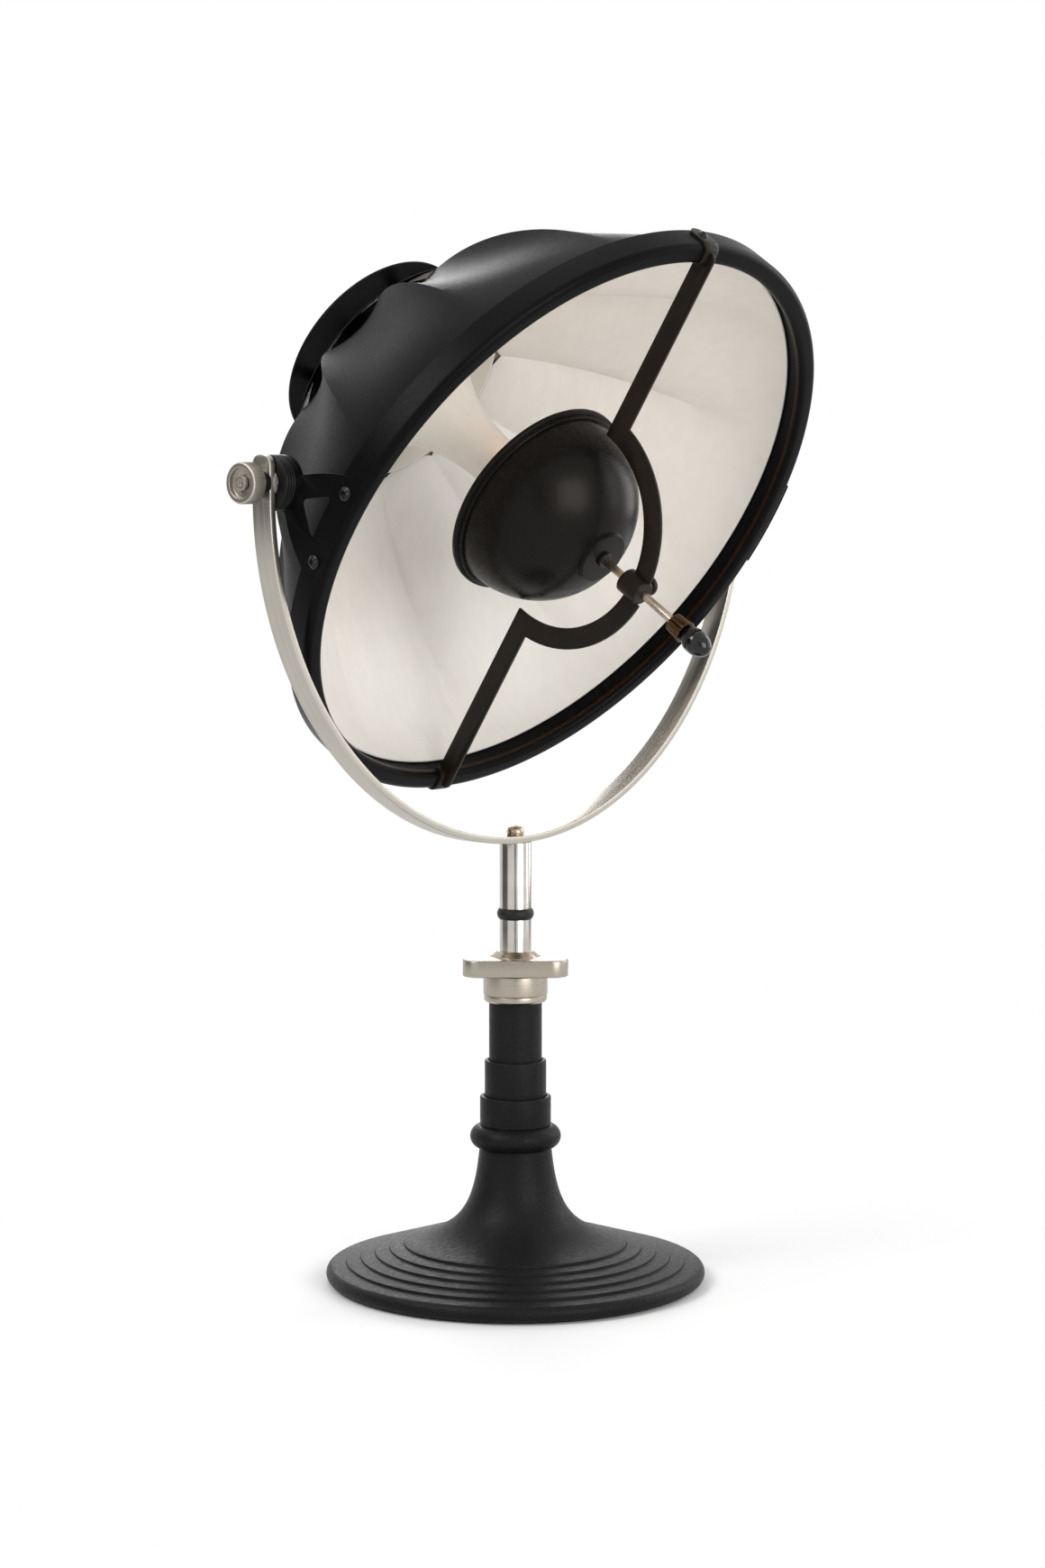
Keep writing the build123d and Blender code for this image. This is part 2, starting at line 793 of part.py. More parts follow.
# ================================================================== head: twelve-panel shade
def ridge_radius(depth):
    """Radius of the ridges between the panels."""
    share = (depth - shade_front_depth) / shade_reach
    return shade_radius * sqrt(1 - share**shade_power)


def sag(depth):
    """How far the middle of a panel lies inside the ridges."""
    share = (depth - shade_front_depth) / (shade_rear_depth - shade_front_depth)
    if share < panel_sag_at:
        return max(panel_sag * sin(radians(90 * share / panel_sag_at)) ** panel_sag_onset, panel_crease)
    fall = (share - panel_sag_at) / (1 - panel_sag_at)
    return panel_sag - (panel_sag - panel_sag_rear) * fall**2


def wall_factor(depth):
    """Radial thickness of the sloping wall per millimetre of sheet."""
    slope = ridge_radius(max(depth - 1, shade_front_depth)) - ridge_radius(depth)
    return hypot(1, slope)


def panel_section(depth, inset):
    """Cross-section of the shade: one inward arc for each panel."""
    outer = ridge_radius(depth) - inset * wall_factor(depth)
    middle = outer - sag(depth)
    pitch = 360 / panel_count
    with BuildSketch(head.offset(bead_forward - depth)) as section:
        with BuildLine():
            for panel in range(panel_count):
                ThreePointArc(
                    Vector(outer, 0).rotate(Axis.Z, (panel - 0.5) * pitch),
                    Vector(middle, 0).rotate(Axis.Z, panel * pitch),
                    Vector(outer, 0).rotate(Axis.Z, (panel + 0.5) * pitch),
                )
        make_face()
    return section.sketch


def panelled_form(inset, mode=Mode.ADD):
    """Solid drum with scalloped sides, this far inside the shade's outer surface."""
    span = shade_rear_depth - shade_front_depth
    depths = [shade_front_depth + span * step / shade_sections for step in range(shade_sections + 1)]
    loft([panel_section(depth, inset) for depth in depths], mode=mode)


with BuildPart() as shade_shell:
    panelled_form(0)
    panelled_form(shell_thickness, mode=Mode.SUBTRACT)
keep(shade_shell, "shade_shell")

with BuildPart() as shade_lining:
    panelled_form(shell_thickness)
    panelled_form(shell_thickness + lining_thickness, mode=Mode.SUBTRACT)
keep(shade_lining, "shade_lining")

# ================================================================== head: bulkhead and light cone
sheet_total = shell_thickness + lining_thickness
neck_outer_radius = (
    ridge_radius(shade_rear_depth) - panel_sag_rear - sheet_total * wall_factor(shade_rear_depth) - seat_gap
)
neck_inner_radius = neck_outer_radius - neck_wall
skirt_root_radius = neck_outer_radius + skirt_shoulder
skirt_slope = skirt_rise / (skirt_radius - skirt_root_radius)
skirt_front = bulkhead_back + skirt_rise
skirt_inner_at_neck = skirt_front + bulkhead_thickness - (skirt_radius - neck_outer_radius) * skirt_slope

with BuildPart() as rear_bulkhead:
    turned(
        [
            (wire_hole_radius, bulkhead_back),
            (skirt_root_radius, bulkhead_back),
            (skirt_radius, skirt_front),
            (skirt_radius, skirt_front + bulkhead_thickness),
            (neck_outer_radius, skirt_inner_at_neck),
            (neck_outer_radius, bead_forward - neck_front_depth),
            (neck_inner_radius, bead_forward - neck_front_depth),
            (neck_inner_radius, bulkhead_face),
            (wire_hole_radius, bulkhead_face),
        ],
        plane=meridian(0),
        axis=head_axis,
    )
keep(rear_bulkhead, "rear_bulkhead")

cone_mouth_radius = neck_inner_radius - seat_gap
cone_length = bulkhead_face + cone_throat_back
cone_spread = cone_mouth_radius - cone_tip_radius

with BuildPart() as light_cone:
    with BuildSketch(meridian(0)):
        with BuildLine():
            Polyline(
                (cone_mouth_radius, bulkhead_face),
                (0, bulkhead_face),
                (0, cone_tip_forward),
                (cone_tip_radius, cone_tip_forward),
                (cone_tip_radius, -cone_throat_back),
            )
            Bezier(
                (cone_tip_radius, -cone_throat_back),
                (cone_tip_radius, -cone_throat_back + cone_throat_pull * cone_length),
                (
                    cone_mouth_radius - cone_mouth_pull * cone_spread,
                    bulkhead_face - cone_mouth_rise * cone_length,
                ),
                (cone_mouth_radius, bulkhead_face),
            )
        make_face()
    revolve(axis=head_axis)
    cone_ends = light_cone.faces().filter_by(GeomType.PLANE)
    offset(amount=-cone_thickness, openings=list(cone_ends))
keep(light_cone, "light_cone")

# ================================================================== head: lampholder and lamp
holder_radius = cone_tip_radius - cone_thickness - seat_gap
holder_back = lampholder_forward - lampholder_length
socket_floor = lampholder_forward - lamp_cap_length

with BuildPart() as lampholder:
    turned(
        [
            (wire_hole_radius / 2, holder_back),
            (holder_radius, holder_back),
            (holder_radius, lampholder_forward),
            (lamp_cap_radius + seat_gap, lampholder_forward),
            (lamp_cap_radius + seat_gap, socket_floor),
            (wire_hole_radius / 2, socket_floor),
        ],
        plane=meridian(0),
        axis=head_axis,
    )
keep(lampholder, "lampholder")

globe_joint = lamp_globe_forward - sqrt(lamp_globe_radius**2 - lamp_neck_radius**2)

with BuildPart() as bulb:
    with BuildSketch(meridian(0)):
        with BuildLine():
            Polyline(
                (0, lamp_globe_forward + lamp_globe_radius),
                (0, socket_floor),
                (lamp_cap_radius, socket_floor),
                (lamp_cap_radius, lampholder_forward + seat_gap),
                (lamp_neck_radius, lampholder_forward + 2.5),
                (lamp_neck_radius, globe_joint),
            )
            ThreePointArc(
                (lamp_neck_radius, globe_joint),
                (lamp_globe_radius, lamp_globe_forward),
                (0, lamp_globe_forward + lamp_globe_radius),
            )
        make_face()
    revolve(axis=head_axis)
keep(bulb, "bulb")


# ================================================================== head: rear dish, posts and gland
def dish_level(radius, back=0.0):
    """Place along the axis of the dish's hollow face, or of the face this far behind it."""
    return dish_centre - sqrt((dish_sphere + back) ** 2 - radius**2)


def dish_region(front, rear, mode=Mode.ADD):
    """Solid between two spherical faces that lie this far behind the dish's hollow face."""
    with BuildSketch(meridian(0)) as region:
        with BuildLine():
            ThreePointArc(
                (0, dish_level(0, front)),
                (dish_radius / 2, dish_level(dish_radius / 2, front)),
                (dish_radius, dish_level(dish_radius, front)),
            )
            Line((dish_radius, dish_level(dish_radius, front)), (dish_radius, dish_level(dish_radius, rear)))
            ThreePointArc(
                (dish_radius, dish_level(dish_radius, rear)),
                (dish_radius / 2, dish_level(dish_radius / 2, rear)),
                (0, dish_level(0, rear)),
            )
            Line((0, dish_level(0, rear)), (0, dish_level(0, front)))
        make_face()
    revolve(region.sketch, axis=head_axis, mode=mode)


with BuildPart() as rear_dish:
    dish_region(0, dish_thickness)
    with BuildSketch(head.offset(dish_level(0, 2 * dish_thickness))):
        Circle(gland_bush_radius + seat_gap)
    extrude(amount=4 * dish_thickness, mode=Mode.SUBTRACT)
keep(rear_dish, "rear_dish")

with BuildPart() as rear_posts:
    with BuildSketch(head.offset(bulkhead_back)):
        with PolarLocations(post_circle, post_count, start_angle=90):
            Circle(post_radius)
    extrude(amount=-(bulkhead_back - dish_level(0)))
    dish_region(0, dish_hollow + post_radius, mode=Mode.SUBTRACT)
keep(rear_posts, "rear_posts")

with BuildPart() as post_screws:
    with BuildSketch(head.offset(dish_level(post_circle, dish_thickness) - post_screw_height)):
        with PolarLocations(post_circle, post_count, start_angle=90):
            Circle(post_screw_radius)
    extrude(amount=2 * post_screw_height)
    dish_region(-dish_hollow, dish_thickness, mode=Mode.SUBTRACT)
keep(post_screws, "post_screws")

gland_seat = dish_level(0, dish_thickness)
gland_face = dish_level(gland_radius)

with BuildPart() as cable_gland:
    turned(
        [
            (gland_bore_radius, gland_seat - gland_thickness),
            (gland_radius, gland_seat - gland_thickness),
            (gland_radius, gland_seat),
            (gland_bush_radius, gland_seat),
            (gland_bush_radius, gland_face),
            (gland_radius, gland_face),
            (gland_radius, gland_face + gland_nut_thickness),
            (gland_bush_radius, gland_face + gland_nut_thickness),
            (gland_bush_radius, gland_seat + gland_bush_length),
            (gland_bore_radius, gland_seat + gland_bush_length),
        ],
        plane=meridian(0),
        axis=head_axis,
    )
keep(cable_gland, "cable_gland")

# ================================================================== head: crossbar, sleeve and clips
bar_back = bead_forward + bar_front - bar_width
bar_end_radius = hoop_radius - bar_end_inset
bar_inner_arc = bar_arc_radius - bar_width

with BuildPart() as crossbar:
    with BuildSketch(meridian(90)):
        with Locations((0, bead_forward)):
            Circle(bar_arc_radius)
            Circle(bar_inner_arc, mode=Mode.SUBTRACT)
        with Locations((0, bar_back)):
            Rectangle(4 * bar_arc_radius, 4 * bar_arc_radius, align=(Align.CENTER, Align.MAX), mode=Mode.SUBTRACT)
        for side in (1, -1):
            bar_middle = (bar_arc_radius + bar_inner_arc) / 2
            with Locations((side * bar_middle, bar_back)):
                Rectangle(
                    bar_end_radius - bar_middle,
                    bar_width,
                    align=(Align.MIN if side > 0 else Align.MAX, Align.MIN),
                )
        clip_space = hoop_section(clip_thickness, hoop_rear)
        add(clip_space, mode=Mode.SUBTRACT)
        mirror(clip_space, about=Plane.YZ, mode=Mode.SUBTRACT)
    extrude(amount=bar_thickness / 2, both=True)
    bar_corners = crossbar.edges().filter_by(Axis.X).filter_by(
        lambda edge: abs(abs(head.to_local_coords(edge.center()).Y) - bar_end_radius) < seat_gap
        and head.to_local_coords(edge.center()).Z > bead_forward + bar_front - seat_gap
    )
    fillet(bar_corners, bar_end_rounding)
    with BuildSketch(head.offset(bead_forward)):
        Circle(sleeve_radius)
    extrude(amount=2 * bar_arc_radius, mode=Mode.SUBTRACT)
keep(crossbar, "crossbar")

thumb_level = bead_forward + (sleeve_back + sleeve_front) / 2
thumb_axis = Axis(head.from_local_coords(Vector(0, 0, thumb_level)), head.x_dir)
thumb_plane = Plane(origin=thumb_axis.position, x_dir=head.x_dir, z_dir=-head.y_dir)

with BuildPart() as rod_sleeve:
    turned(
        [
            (rod_radius + running_fit, bead_forward + sleeve_back),
            (sleeve_radius - sleeve_chamfer, bead_forward + sleeve_back),
            (sleeve_radius, bead_forward + sleeve_back + sleeve_chamfer),
            (sleeve_radius, bead_forward + sleeve_front - sleeve_chamfer),
            (sleeve_radius - sleeve_chamfer, bead_forward + sleeve_front),
            (rod_radius + running_fit, bead_forward + sleeve_front),
        ],
        plane=meridian(0),
        axis=head_axis,
    )
    turned(
        [
            (0, 0),
            (2 * sleeve_radius, 0),
            (2 * sleeve_radius, thumb_shank_radius + running_fit),
            (0, thumb_shank_radius + running_fit),
        ],
        plane=thumb_plane,
        axis=thumb_axis,
        mode=Mode.SUBTRACT,
    )
keep(rod_sleeve, "rod_sleeve")

clip_half_angle = degrees(atan(clip_width / 2 / hoop_radius))

with BuildPart() as rim_clips:
    for angle in clip_angles.values():
        with BuildSketch(meridian(angle - clip_half_angle)):
            add(hoop_section(clip_thickness, hoop_rear))
            add(hoop_section(0, 0), mode=Mode.SUBTRACT)
            with BuildLine():
                Polyline(*lip_clearance, close=True)
            make_face(mode=Mode.SUBTRACT)
        revolve(axis=head_axis, revolution_arc=2 * clip_half_angle)
    tail_corners = rim_clips.edges().filter_by(
        lambda edge: abs(head.to_local_coords(edge.center()).Z - hoop_rear) < seat_gap
        and edge.length < clip_width / 2
    )
    fillet(tail_corners, clip_tail_rounding)
    cut_screw_holes(clip_angles.values(), clip_screw_depth)
keep(rim_clips, "rim_clips")


def button_screw(angle, depth, seat, tip):
    """Button-head screw pointing in at the head's axis, its head on this radius."""
    spoke = meridian(angle)
    level = bead_forward - depth
    crown = seat + screw_head_height
    with BuildSketch(spoke) as half_profile:
        with BuildLine():
            Polyline(
                (crown, level + screw_socket_radius),
                (crown - screw_head_height / 2, level + screw_socket_radius),
                (crown - screw_head_height / 2, level),
                (tip, level),
                (tip, level + screw_shank_radius),
                (seat, level + screw_shank_radius),
                (seat, level + screw_head_radius),
            )
            RadiusArc(
                (seat, level + screw_head_radius),
                (crown, level + screw_socket_radius),
                1.2 * screw_head_radius,
                short_sagitta=True,
            )
        make_face()
    screw_axis = Axis(spoke.from_local_coords(Vector(0, level, 0)), spoke.x_dir)
    revolve(half_profile.sketch, axis=screw_axis)


with BuildPart() as clip_screws:
    for angle in clip_angles.values():
        button_screw(angle, clip_screw_depth, clip_seat, band_inner_radius)
keep(clip_screws, "clip_screws")

# ================================================================== head: side brackets
bracket_seat = hoop_radius + bracket_thickness
boss_back = bracket_boss_face - bracket_boss_thickness
bracket_half_angle = degrees(atan(-bracket_bottom[1][0] / hoop_radius)) + 2

with BuildPart() as right_bracket:
    turned_plate = [
        (hoop_radius, 0),
        (bracket_seat, 0),
        (bracket_seat, bracket_top[0][1]),
        (hoop_radius, bracket_top[0][1]),
    ]
    with BuildSketch(meridian(-bracket_half_angle)):
        with BuildLine():
            Polyline(*turned_plate, close=True)
        make_face()
    revolve(axis=head_axis, revolution_arc=2 * bracket_half_angle)
    with BuildSketch(meridian(90)) as bracket_outline:
        with BuildLine():
            Polyline(bracket_bottom[1], bracket_bottom[0], bracket_top[0], bracket_top[1])
            ThreePointArc(*bracket_top[1:])
            Line(bracket_top[-1], bracket_bottom[-1])
            ThreePointArc(*bracket_bottom[1:])
        make_face()
        fillet(bracket_outline.vertices().group_by(Axis.X)[0], bracket_corner_rounding)
    extrude(amount=2 * hoop_radius, both=True, mode=Mode.INTERSECT)
    with BuildSketch(Plane(origin=pivot_axis.position + Vector(boss_back, 0, 0), z_dir=(1, 0, 0))):
        Circle(bracket_boss_radius)
    extrude(amount=bracket_boss_thickness)
    with BuildSketch(meridian(90)) as hole_outline:
        with BuildLine():
            Polyline(*bracket_hole, close=True)
        make_face()
        fillet(hole_outline.vertices(), bracket_hole_rounding)
    extrude(amount=2 * hoop_radius, mode=Mode.SUBTRACT)
    with BuildSketch(Plane(origin=pivot_axis.position, z_dir=(1, 0, 0))):
        Circle(stud_radius)
    extrude(amount=2 * hoop_radius, mode=Mode.SUBTRACT)
    cut_screw_holes(bracket_screw_angles[:2], bracket_screw_depth)
keep(right_bracket, "right_bracket")

with BuildPart() as left_bracket:
    mirror(right_bracket.part, about=Plane.YZ)
keep(left_bracket, "left_bracket")

with BuildPart() as bracket_screws:
    for angle in bracket_screw_angles:
        button_screw(angle, bracket_screw_depth, bracket_seat, band_inner_radius)
keep(bracket_screws, "bracket_screws")

# ================================================================== pivots and knobs
with BuildPart() as pivot_studs:
    both_sides(
        [
            (boss_back - stud_head_thickness, 0),
            (boss_back - stud_head_thickness, stud_head_radius),
            (boss_back, stud_head_radius),
            (boss_back, stud_radius),
            (stud_end, stud_radius),
            (stud_end, knob_screw_shank),
            (stud_end + knob_web + face_gap - knob_screw_length, knob_screw_shank),
            (stud_end + knob_web + face_gap - knob_screw_length, 0),
        ]
    )
keep(pivot_studs, "pivot_studs")


def spacer_outline():
    """Friction spacer between bracket and yoke, with shallow grooves round it."""
    pitch = (spacer_end - bracket_boss_face) / (spacer_grooves + 1)
    points = [(bracket_boss_face, stud_radius), (bracket_boss_face, spacer_radius)]
    for groove in range(spacer_grooves):
        middle = bracket_boss_face + (groove + 1) * pitch
        points.append((middle - spacer_groove_width / 2, spacer_radius))
        points.append((middle, spacer_radius - spacer_groove_depth))
        points.append((middle + spacer_groove_width / 2, spacer_radius))
    points.append((spacer_end, spacer_radius))
    points.append((spacer_end, stud_radius))
    return points


with BuildPart() as right_spacer:
    turned(spacer_outline(), plane=pivot_plane, axis=pivot_axis)
keep(right_spacer, "right_spacer")

with BuildPart() as left_spacer:
    mirror(right_spacer.part, about=Plane.YZ)
keep(left_spacer, "left_spacer")

with BuildPart() as right_knob:
    turned(
        [
            (knob_start, stud_radius + running_fit),
            (knob_start, knob_radius - knob_edge),
            (knob_start + knob_edge, knob_radius),
            (knob_end - knob_edge, knob_radius),
            (knob_end, knob_radius - knob_edge),
            (knob_end, knob_recess_radius),
            (knob_floor, knob_recess_radius),
            (knob_floor, knob_screw_shank + face_gap),
            (knob_floor - knob_web, knob_screw_shank + face_gap),
            (knob_floor - knob_web, stud_radius + running_fit),
        ],
        plane=pivot_plane,
        axis=pivot_axis,
    )
keep(right_knob, "right_knob")

with BuildPart() as left_knob:
    mirror(right_knob.part, about=Plane.YZ)
keep(left_knob, "left_knob")

knob_screw_seat = knob_floor + face_gap
knob_screw_top = knob_screw_seat + knob_screw_height

with BuildPart() as knob_screws:
    both_sides(
        [
            (knob_floor - knob_screw_length, 0),
            (knob_floor - knob_screw_length, knob_screw_shank),
            (knob_screw_seat, knob_screw_shank),
            (knob_screw_seat, knob_screw_radius),
            (knob_screw_top, knob_screw_radius),
            (knob_screw_top, knob_screw_socket),
            (knob_screw_top - knob_screw_height / 2, knob_screw_socket),
            (knob_screw_top - knob_screw_height / 2, 0),
        ]
    )
keep(knob_screws, "knob_screws")

# ================================================================== shield
with BuildPart() as shield_cup:
    with BuildSketch(meridian(0)):
        with BuildLine():
            CenterArc((0, cup_centre), cup_radius, 0, 90)
            Polyline(
                (0, cup_apex),
                (0, cup_rim),
                (cup_flange_radius, cup_rim),
                (cup_flange_radius, cup_rim + cup_flange_height),
                (cup_step_radius, cup_rim + cup_flange_height),
                (cup_step_radius, cup_rim + cup_flange_height + cup_step_height),
                (cup_radius, cup_rim + cup_flange_height + cup_step_height),
                (cup_radius, cup_centre),
            )
        make_face()
    revolve(axis=head_axis)
    with BuildSketch(head.offset(cup_centre)):
        Circle(cup_boss_radius)
    extrude(amount=boss_top - cup_centre)
    with BuildSketch(meridian(0)):
        with BuildLine():
            CenterArc((0, cup_centre), cup_radius - cup_thickness, 0, 90)
            Polyline(
                (0, cup_centre + cup_radius - cup_thickness),
                (0, cup_rim),
                (cup_radius - cup_thickness, cup_rim),
                (cup_radius - cup_thickness, cup_centre),
            )
        make_face()
    revolve(axis=head_axis, mode=Mode.SUBTRACT)
    with BuildSketch(head.offset(cup_centre)):
        Circle(rod_radius)
    extrude(amount=2 * cup_radius, mode=Mode.SUBTRACT)
keep(shield_cup, "shield_cup")

with BuildPart() as shield_grommet:
    with BuildSketch(head.offset(boss_top)):
        Circle(grommet_radius)
        Circle(rod_radius, mode=Mode.SUBTRACT)
    extrude(amount=grommet_height)
    fillet(shield_grommet.edges().filter_by(GeomType.CIRCLE).sort_by(SortBy.LENGTH)[-2:], grommet_height / 4)
keep(shield_grommet, "shield_grommet")

rod_nut_face = cup_centre + sqrt((cup_radius - cup_thickness) ** 2 - (rod_nut_flats / 2) ** 2) - seat_gap
rod_end = bead_forward + ferrule_front + ball_bore_depth

with BuildPart() as shield_nut:
    with BuildSketch(head.offset(rod_nut_face)):
        RegularPolygon(rod_nut_flats / 2, 6, major_radius=False)
        Circle(rod_radius, mode=Mode.SUBTRACT)
    extrude(amount=-rod_nut_thickness)
keep(shield_nut, "shield_nut")

with BuildPart() as shield_rod:
    with BuildSketch(head.offset(rod_nut_face - rod_nut_thickness - rod_tail)):
        Circle(rod_radius)
    extrude(amount=rod_end - rod_nut_face + rod_nut_thickness + rod_tail)
keep(shield_rod, "shield_rod")

with BuildPart() as ball_ferrule:
    turned(
        [
            (rod_radius, bead_forward + ferrule_back),
            (ferrule_back_radius, bead_forward + ferrule_back),
            (ferrule_front_radius, bead_forward + ferrule_front),
            (rod_radius, bead_forward + ferrule_front),
        ],
        plane=meridian(0),
        axis=head_axis,
    )
    with BuildSketch(head.offset(bead_forward + ferrule_back)):
        with PolarLocations(ferrule_back_radius, ferrule_flutes):
            Circle(flute_radius)
    extrude(amount=ferrule_front - ferrule_back, mode=Mode.SUBTRACT)
keep(ball_ferrule, "ball_ferrule")

ball_half_length = ball_tip - ball_centre

with BuildPart() as ball_knob:
    with BuildSketch(meridian(0)):
        with Locations((0, bead_forward + ball_centre)):
            Ellipse(ball_radius, ball_half_length)
            Rectangle(2 * ball_radius, 3 * ball_half_length, align=(Align.MAX, Align.CENTER), mode=Mode.SUBTRACT)
        with Locations((0, bead_forward + ferrule_front)):
            Rectangle(4 * ball_radius, ball_half_length, align=(Align.CENTER, Align.MAX), mode=Mode.SUBTRACT)
            Rectangle(rod_radius, ball_bore_depth, align=(Align.MIN, Align.MIN), mode=Mode.SUBTRACT)
    revolve(axis=head_axis)
keep(ball_knob, "ball_knob")

# ================================================================== thumbscrew on the sleeve
with BuildPart() as thumbscrew:
    turned(
        [
            (rod_radius + face_gap, 0),
            (rod_radius + face_gap, thumb_shank_radius),
            (thumb_head_back, thumb_shank_radius),
            (thumb_head_back, thumb_head_radius - sleeve_chamfer),
            (thumb_head_back + sleeve_chamfer, thumb_head_radius),
            (thumb_head_back + thumb_head_thickness - sleeve_chamfer, thumb_head_radius),
            (thumb_head_back + thumb_head_thickness, thumb_head_radius - sleeve_chamfer),
            (thumb_head_back + thumb_head_thickness, 0),
        ],
        plane=thumb_plane,
        axis=thumb_axis,
    )
keep(thumbscrew, "thumbscrew")
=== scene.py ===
import json
from math import atan2, cos, pi, radians, sin, sqrt, tan

import bmesh
import bpy
from mathutils import Matrix, Vector

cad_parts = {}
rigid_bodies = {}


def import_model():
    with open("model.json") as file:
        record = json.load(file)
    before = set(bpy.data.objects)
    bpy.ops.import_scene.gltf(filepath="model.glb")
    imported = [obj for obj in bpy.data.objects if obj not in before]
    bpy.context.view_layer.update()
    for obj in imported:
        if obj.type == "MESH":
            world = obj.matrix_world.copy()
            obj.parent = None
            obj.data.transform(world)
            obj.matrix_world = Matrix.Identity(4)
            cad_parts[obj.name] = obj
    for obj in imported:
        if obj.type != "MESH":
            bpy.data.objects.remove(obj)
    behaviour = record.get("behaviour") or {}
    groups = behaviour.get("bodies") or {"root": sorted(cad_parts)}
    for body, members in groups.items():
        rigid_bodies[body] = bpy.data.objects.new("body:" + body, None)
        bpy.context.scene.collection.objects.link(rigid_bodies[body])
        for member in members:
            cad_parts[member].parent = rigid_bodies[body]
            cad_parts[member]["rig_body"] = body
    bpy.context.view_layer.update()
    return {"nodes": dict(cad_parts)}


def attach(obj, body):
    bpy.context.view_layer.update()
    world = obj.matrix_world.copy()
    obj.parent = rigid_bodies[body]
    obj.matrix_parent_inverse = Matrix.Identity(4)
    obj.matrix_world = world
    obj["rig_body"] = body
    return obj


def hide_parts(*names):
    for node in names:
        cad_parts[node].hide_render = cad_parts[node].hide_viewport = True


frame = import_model()
nodes = frame["nodes"]

# ------------------------------------------------------------------ measures, in millimetres
MM = 0.001
TILT = radians(33.42)  # the head's axis below the horizontal
PIVOT_HEIGHT = 516.0
LIP = 49.25  # rear of the hoop's inner lip, ahead of the pivot
HOOP_RADIUS = 205.0
YOKE_RADIUS, YOKE_CENTRE, YOKE_TOP = 219.3, 508.8, 532.5  # inside of the bend, its centre, ends of the arms
YOKE_THICKNESS, YOKE_HALF, YOKE_CORNER = 4.5, 7.55, 6.0

# ------------------------------------------------------------------ camera
CAMERA_AT = (-1.6759, -1.5009, 0.5425)
AZIMUTH, PITCH = radians(48.268), radians(5.592)
LOOK = Vector((sin(AZIMUTH) * cos(PITCH), cos(AZIMUTH) * cos(PITCH), -sin(PITCH)))

camera = bpy.data.objects.new("Camera", bpy.data.cameras.new("Camera"))
camera.data.lens = 81.24
camera.data.sensor_width = 36.0
camera.data.clip_start = 0.05
camera.location = CAMERA_AT
camera.rotation_euler = LOOK.to_track_quat("-Z", "Y").to_euler()
bpy.context.scene.collection.objects.link(camera)
bpy.context.scene.camera = camera


# ------------------------------------------------------------------ materials
class Nodes:
    """A material's node tree with short names for what the finishes need."""

    COLOUR_A, COLOUR_B, COLOUR_OUT = 6, 7, 2  # sockets that a Mix node uses for colours

    def __init__(self, name):
        self.material = bpy.data.materials.new(name)
        self.material.use_nodes = True
        self.tree = self.material.node_tree
        self.shader = self.tree.nodes["Principled BSDF"]
        self.place = self.add("ShaderNodeTexCoord").outputs["Object"]

    def add(self, kind, **settings):
        node = self.tree.nodes.new(kind)
        for key, value in settings.items():
            setattr(node, key, value)
        return node

    def join(self, out, into):
        self.tree.links.new(out, into)

    def noise(self, scale, detail=2.0, roughness=0.5, stretch=None, vector=None):
        node = self.add("ShaderNodeTexNoise")
        node.inputs["Scale"].default_value = scale
        node.inputs["Detail"].default_value = detail
        node.inputs["Roughness"].default_value = roughness
        source = vector or self.place
        if stretch:
            mapping = self.add("ShaderNodeMapping")
            mapping.inputs["Scale"].default_value = stretch
            self.join(source, mapping.inputs["Vector"])
            source = mapping.outputs["Vector"]
        self.join(source, node.inputs["Vector"])
        return node.outputs["Fac"]

    def remap(self, value, low, high, to_low=0.0, to_high=1.0):
        node = self.add("ShaderNodeMapRange")
        for slot, number in (("From Min", low), ("From Max", high), ("To Min", to_low), ("To Max", to_high)):
            node.inputs[slot].default_value = number
        self.join(value, node.inputs["Value"])
        return node.outputs["Result"]

    def mix(self, factor, a, b):
        node = self.add("ShaderNodeMix", data_type="RGBA")
        self.join(factor, node.inputs["Factor"])
        for slot, colour in ((self.COLOUR_A, a), (self.COLOUR_B, b)):
            if isinstance(colour, tuple):
                node.inputs[slot].default_value = (*colour, 1.0)
            else:
                self.join(colour, node.inputs[slot])
        return node.outputs[self.COLOUR_OUT]

    def maths(self, operation, a, b=0.0):
        node = self.add("ShaderNodeMath", operation=operation)
        for slot, value in ((0, a), (1, b)):
            if isinstance(value, (int, float)):
                node.inputs[slot].default_value = value
            else:
                self.join(value, node.inputs[slot])
        return node.outputs[0]

    def bump(self, height, strength, distance, normal=None):
        node = self.add("ShaderNodeBump")
        node.inputs["Strength"].default_value = strength
        node.inputs["Distance"].default_value = distance
        self.join(height, node.inputs["Height"])
        if normal:
            self.join(normal, node.inputs["Normal"])
        return node.outputs["Normal"]

    def colour(self, value):
        self.join(value, self.shader.inputs["Base Color"])

    def rough(self, value):
        self.join(value, self.shader.inputs["Roughness"])

    def normal(self, value):
        self.join(value, self.shader.inputs["Normal"])

    def set(self, **values):
        for name, value in values.items():
            self.shader.inputs[name.replace("_", " ")].default_value = value


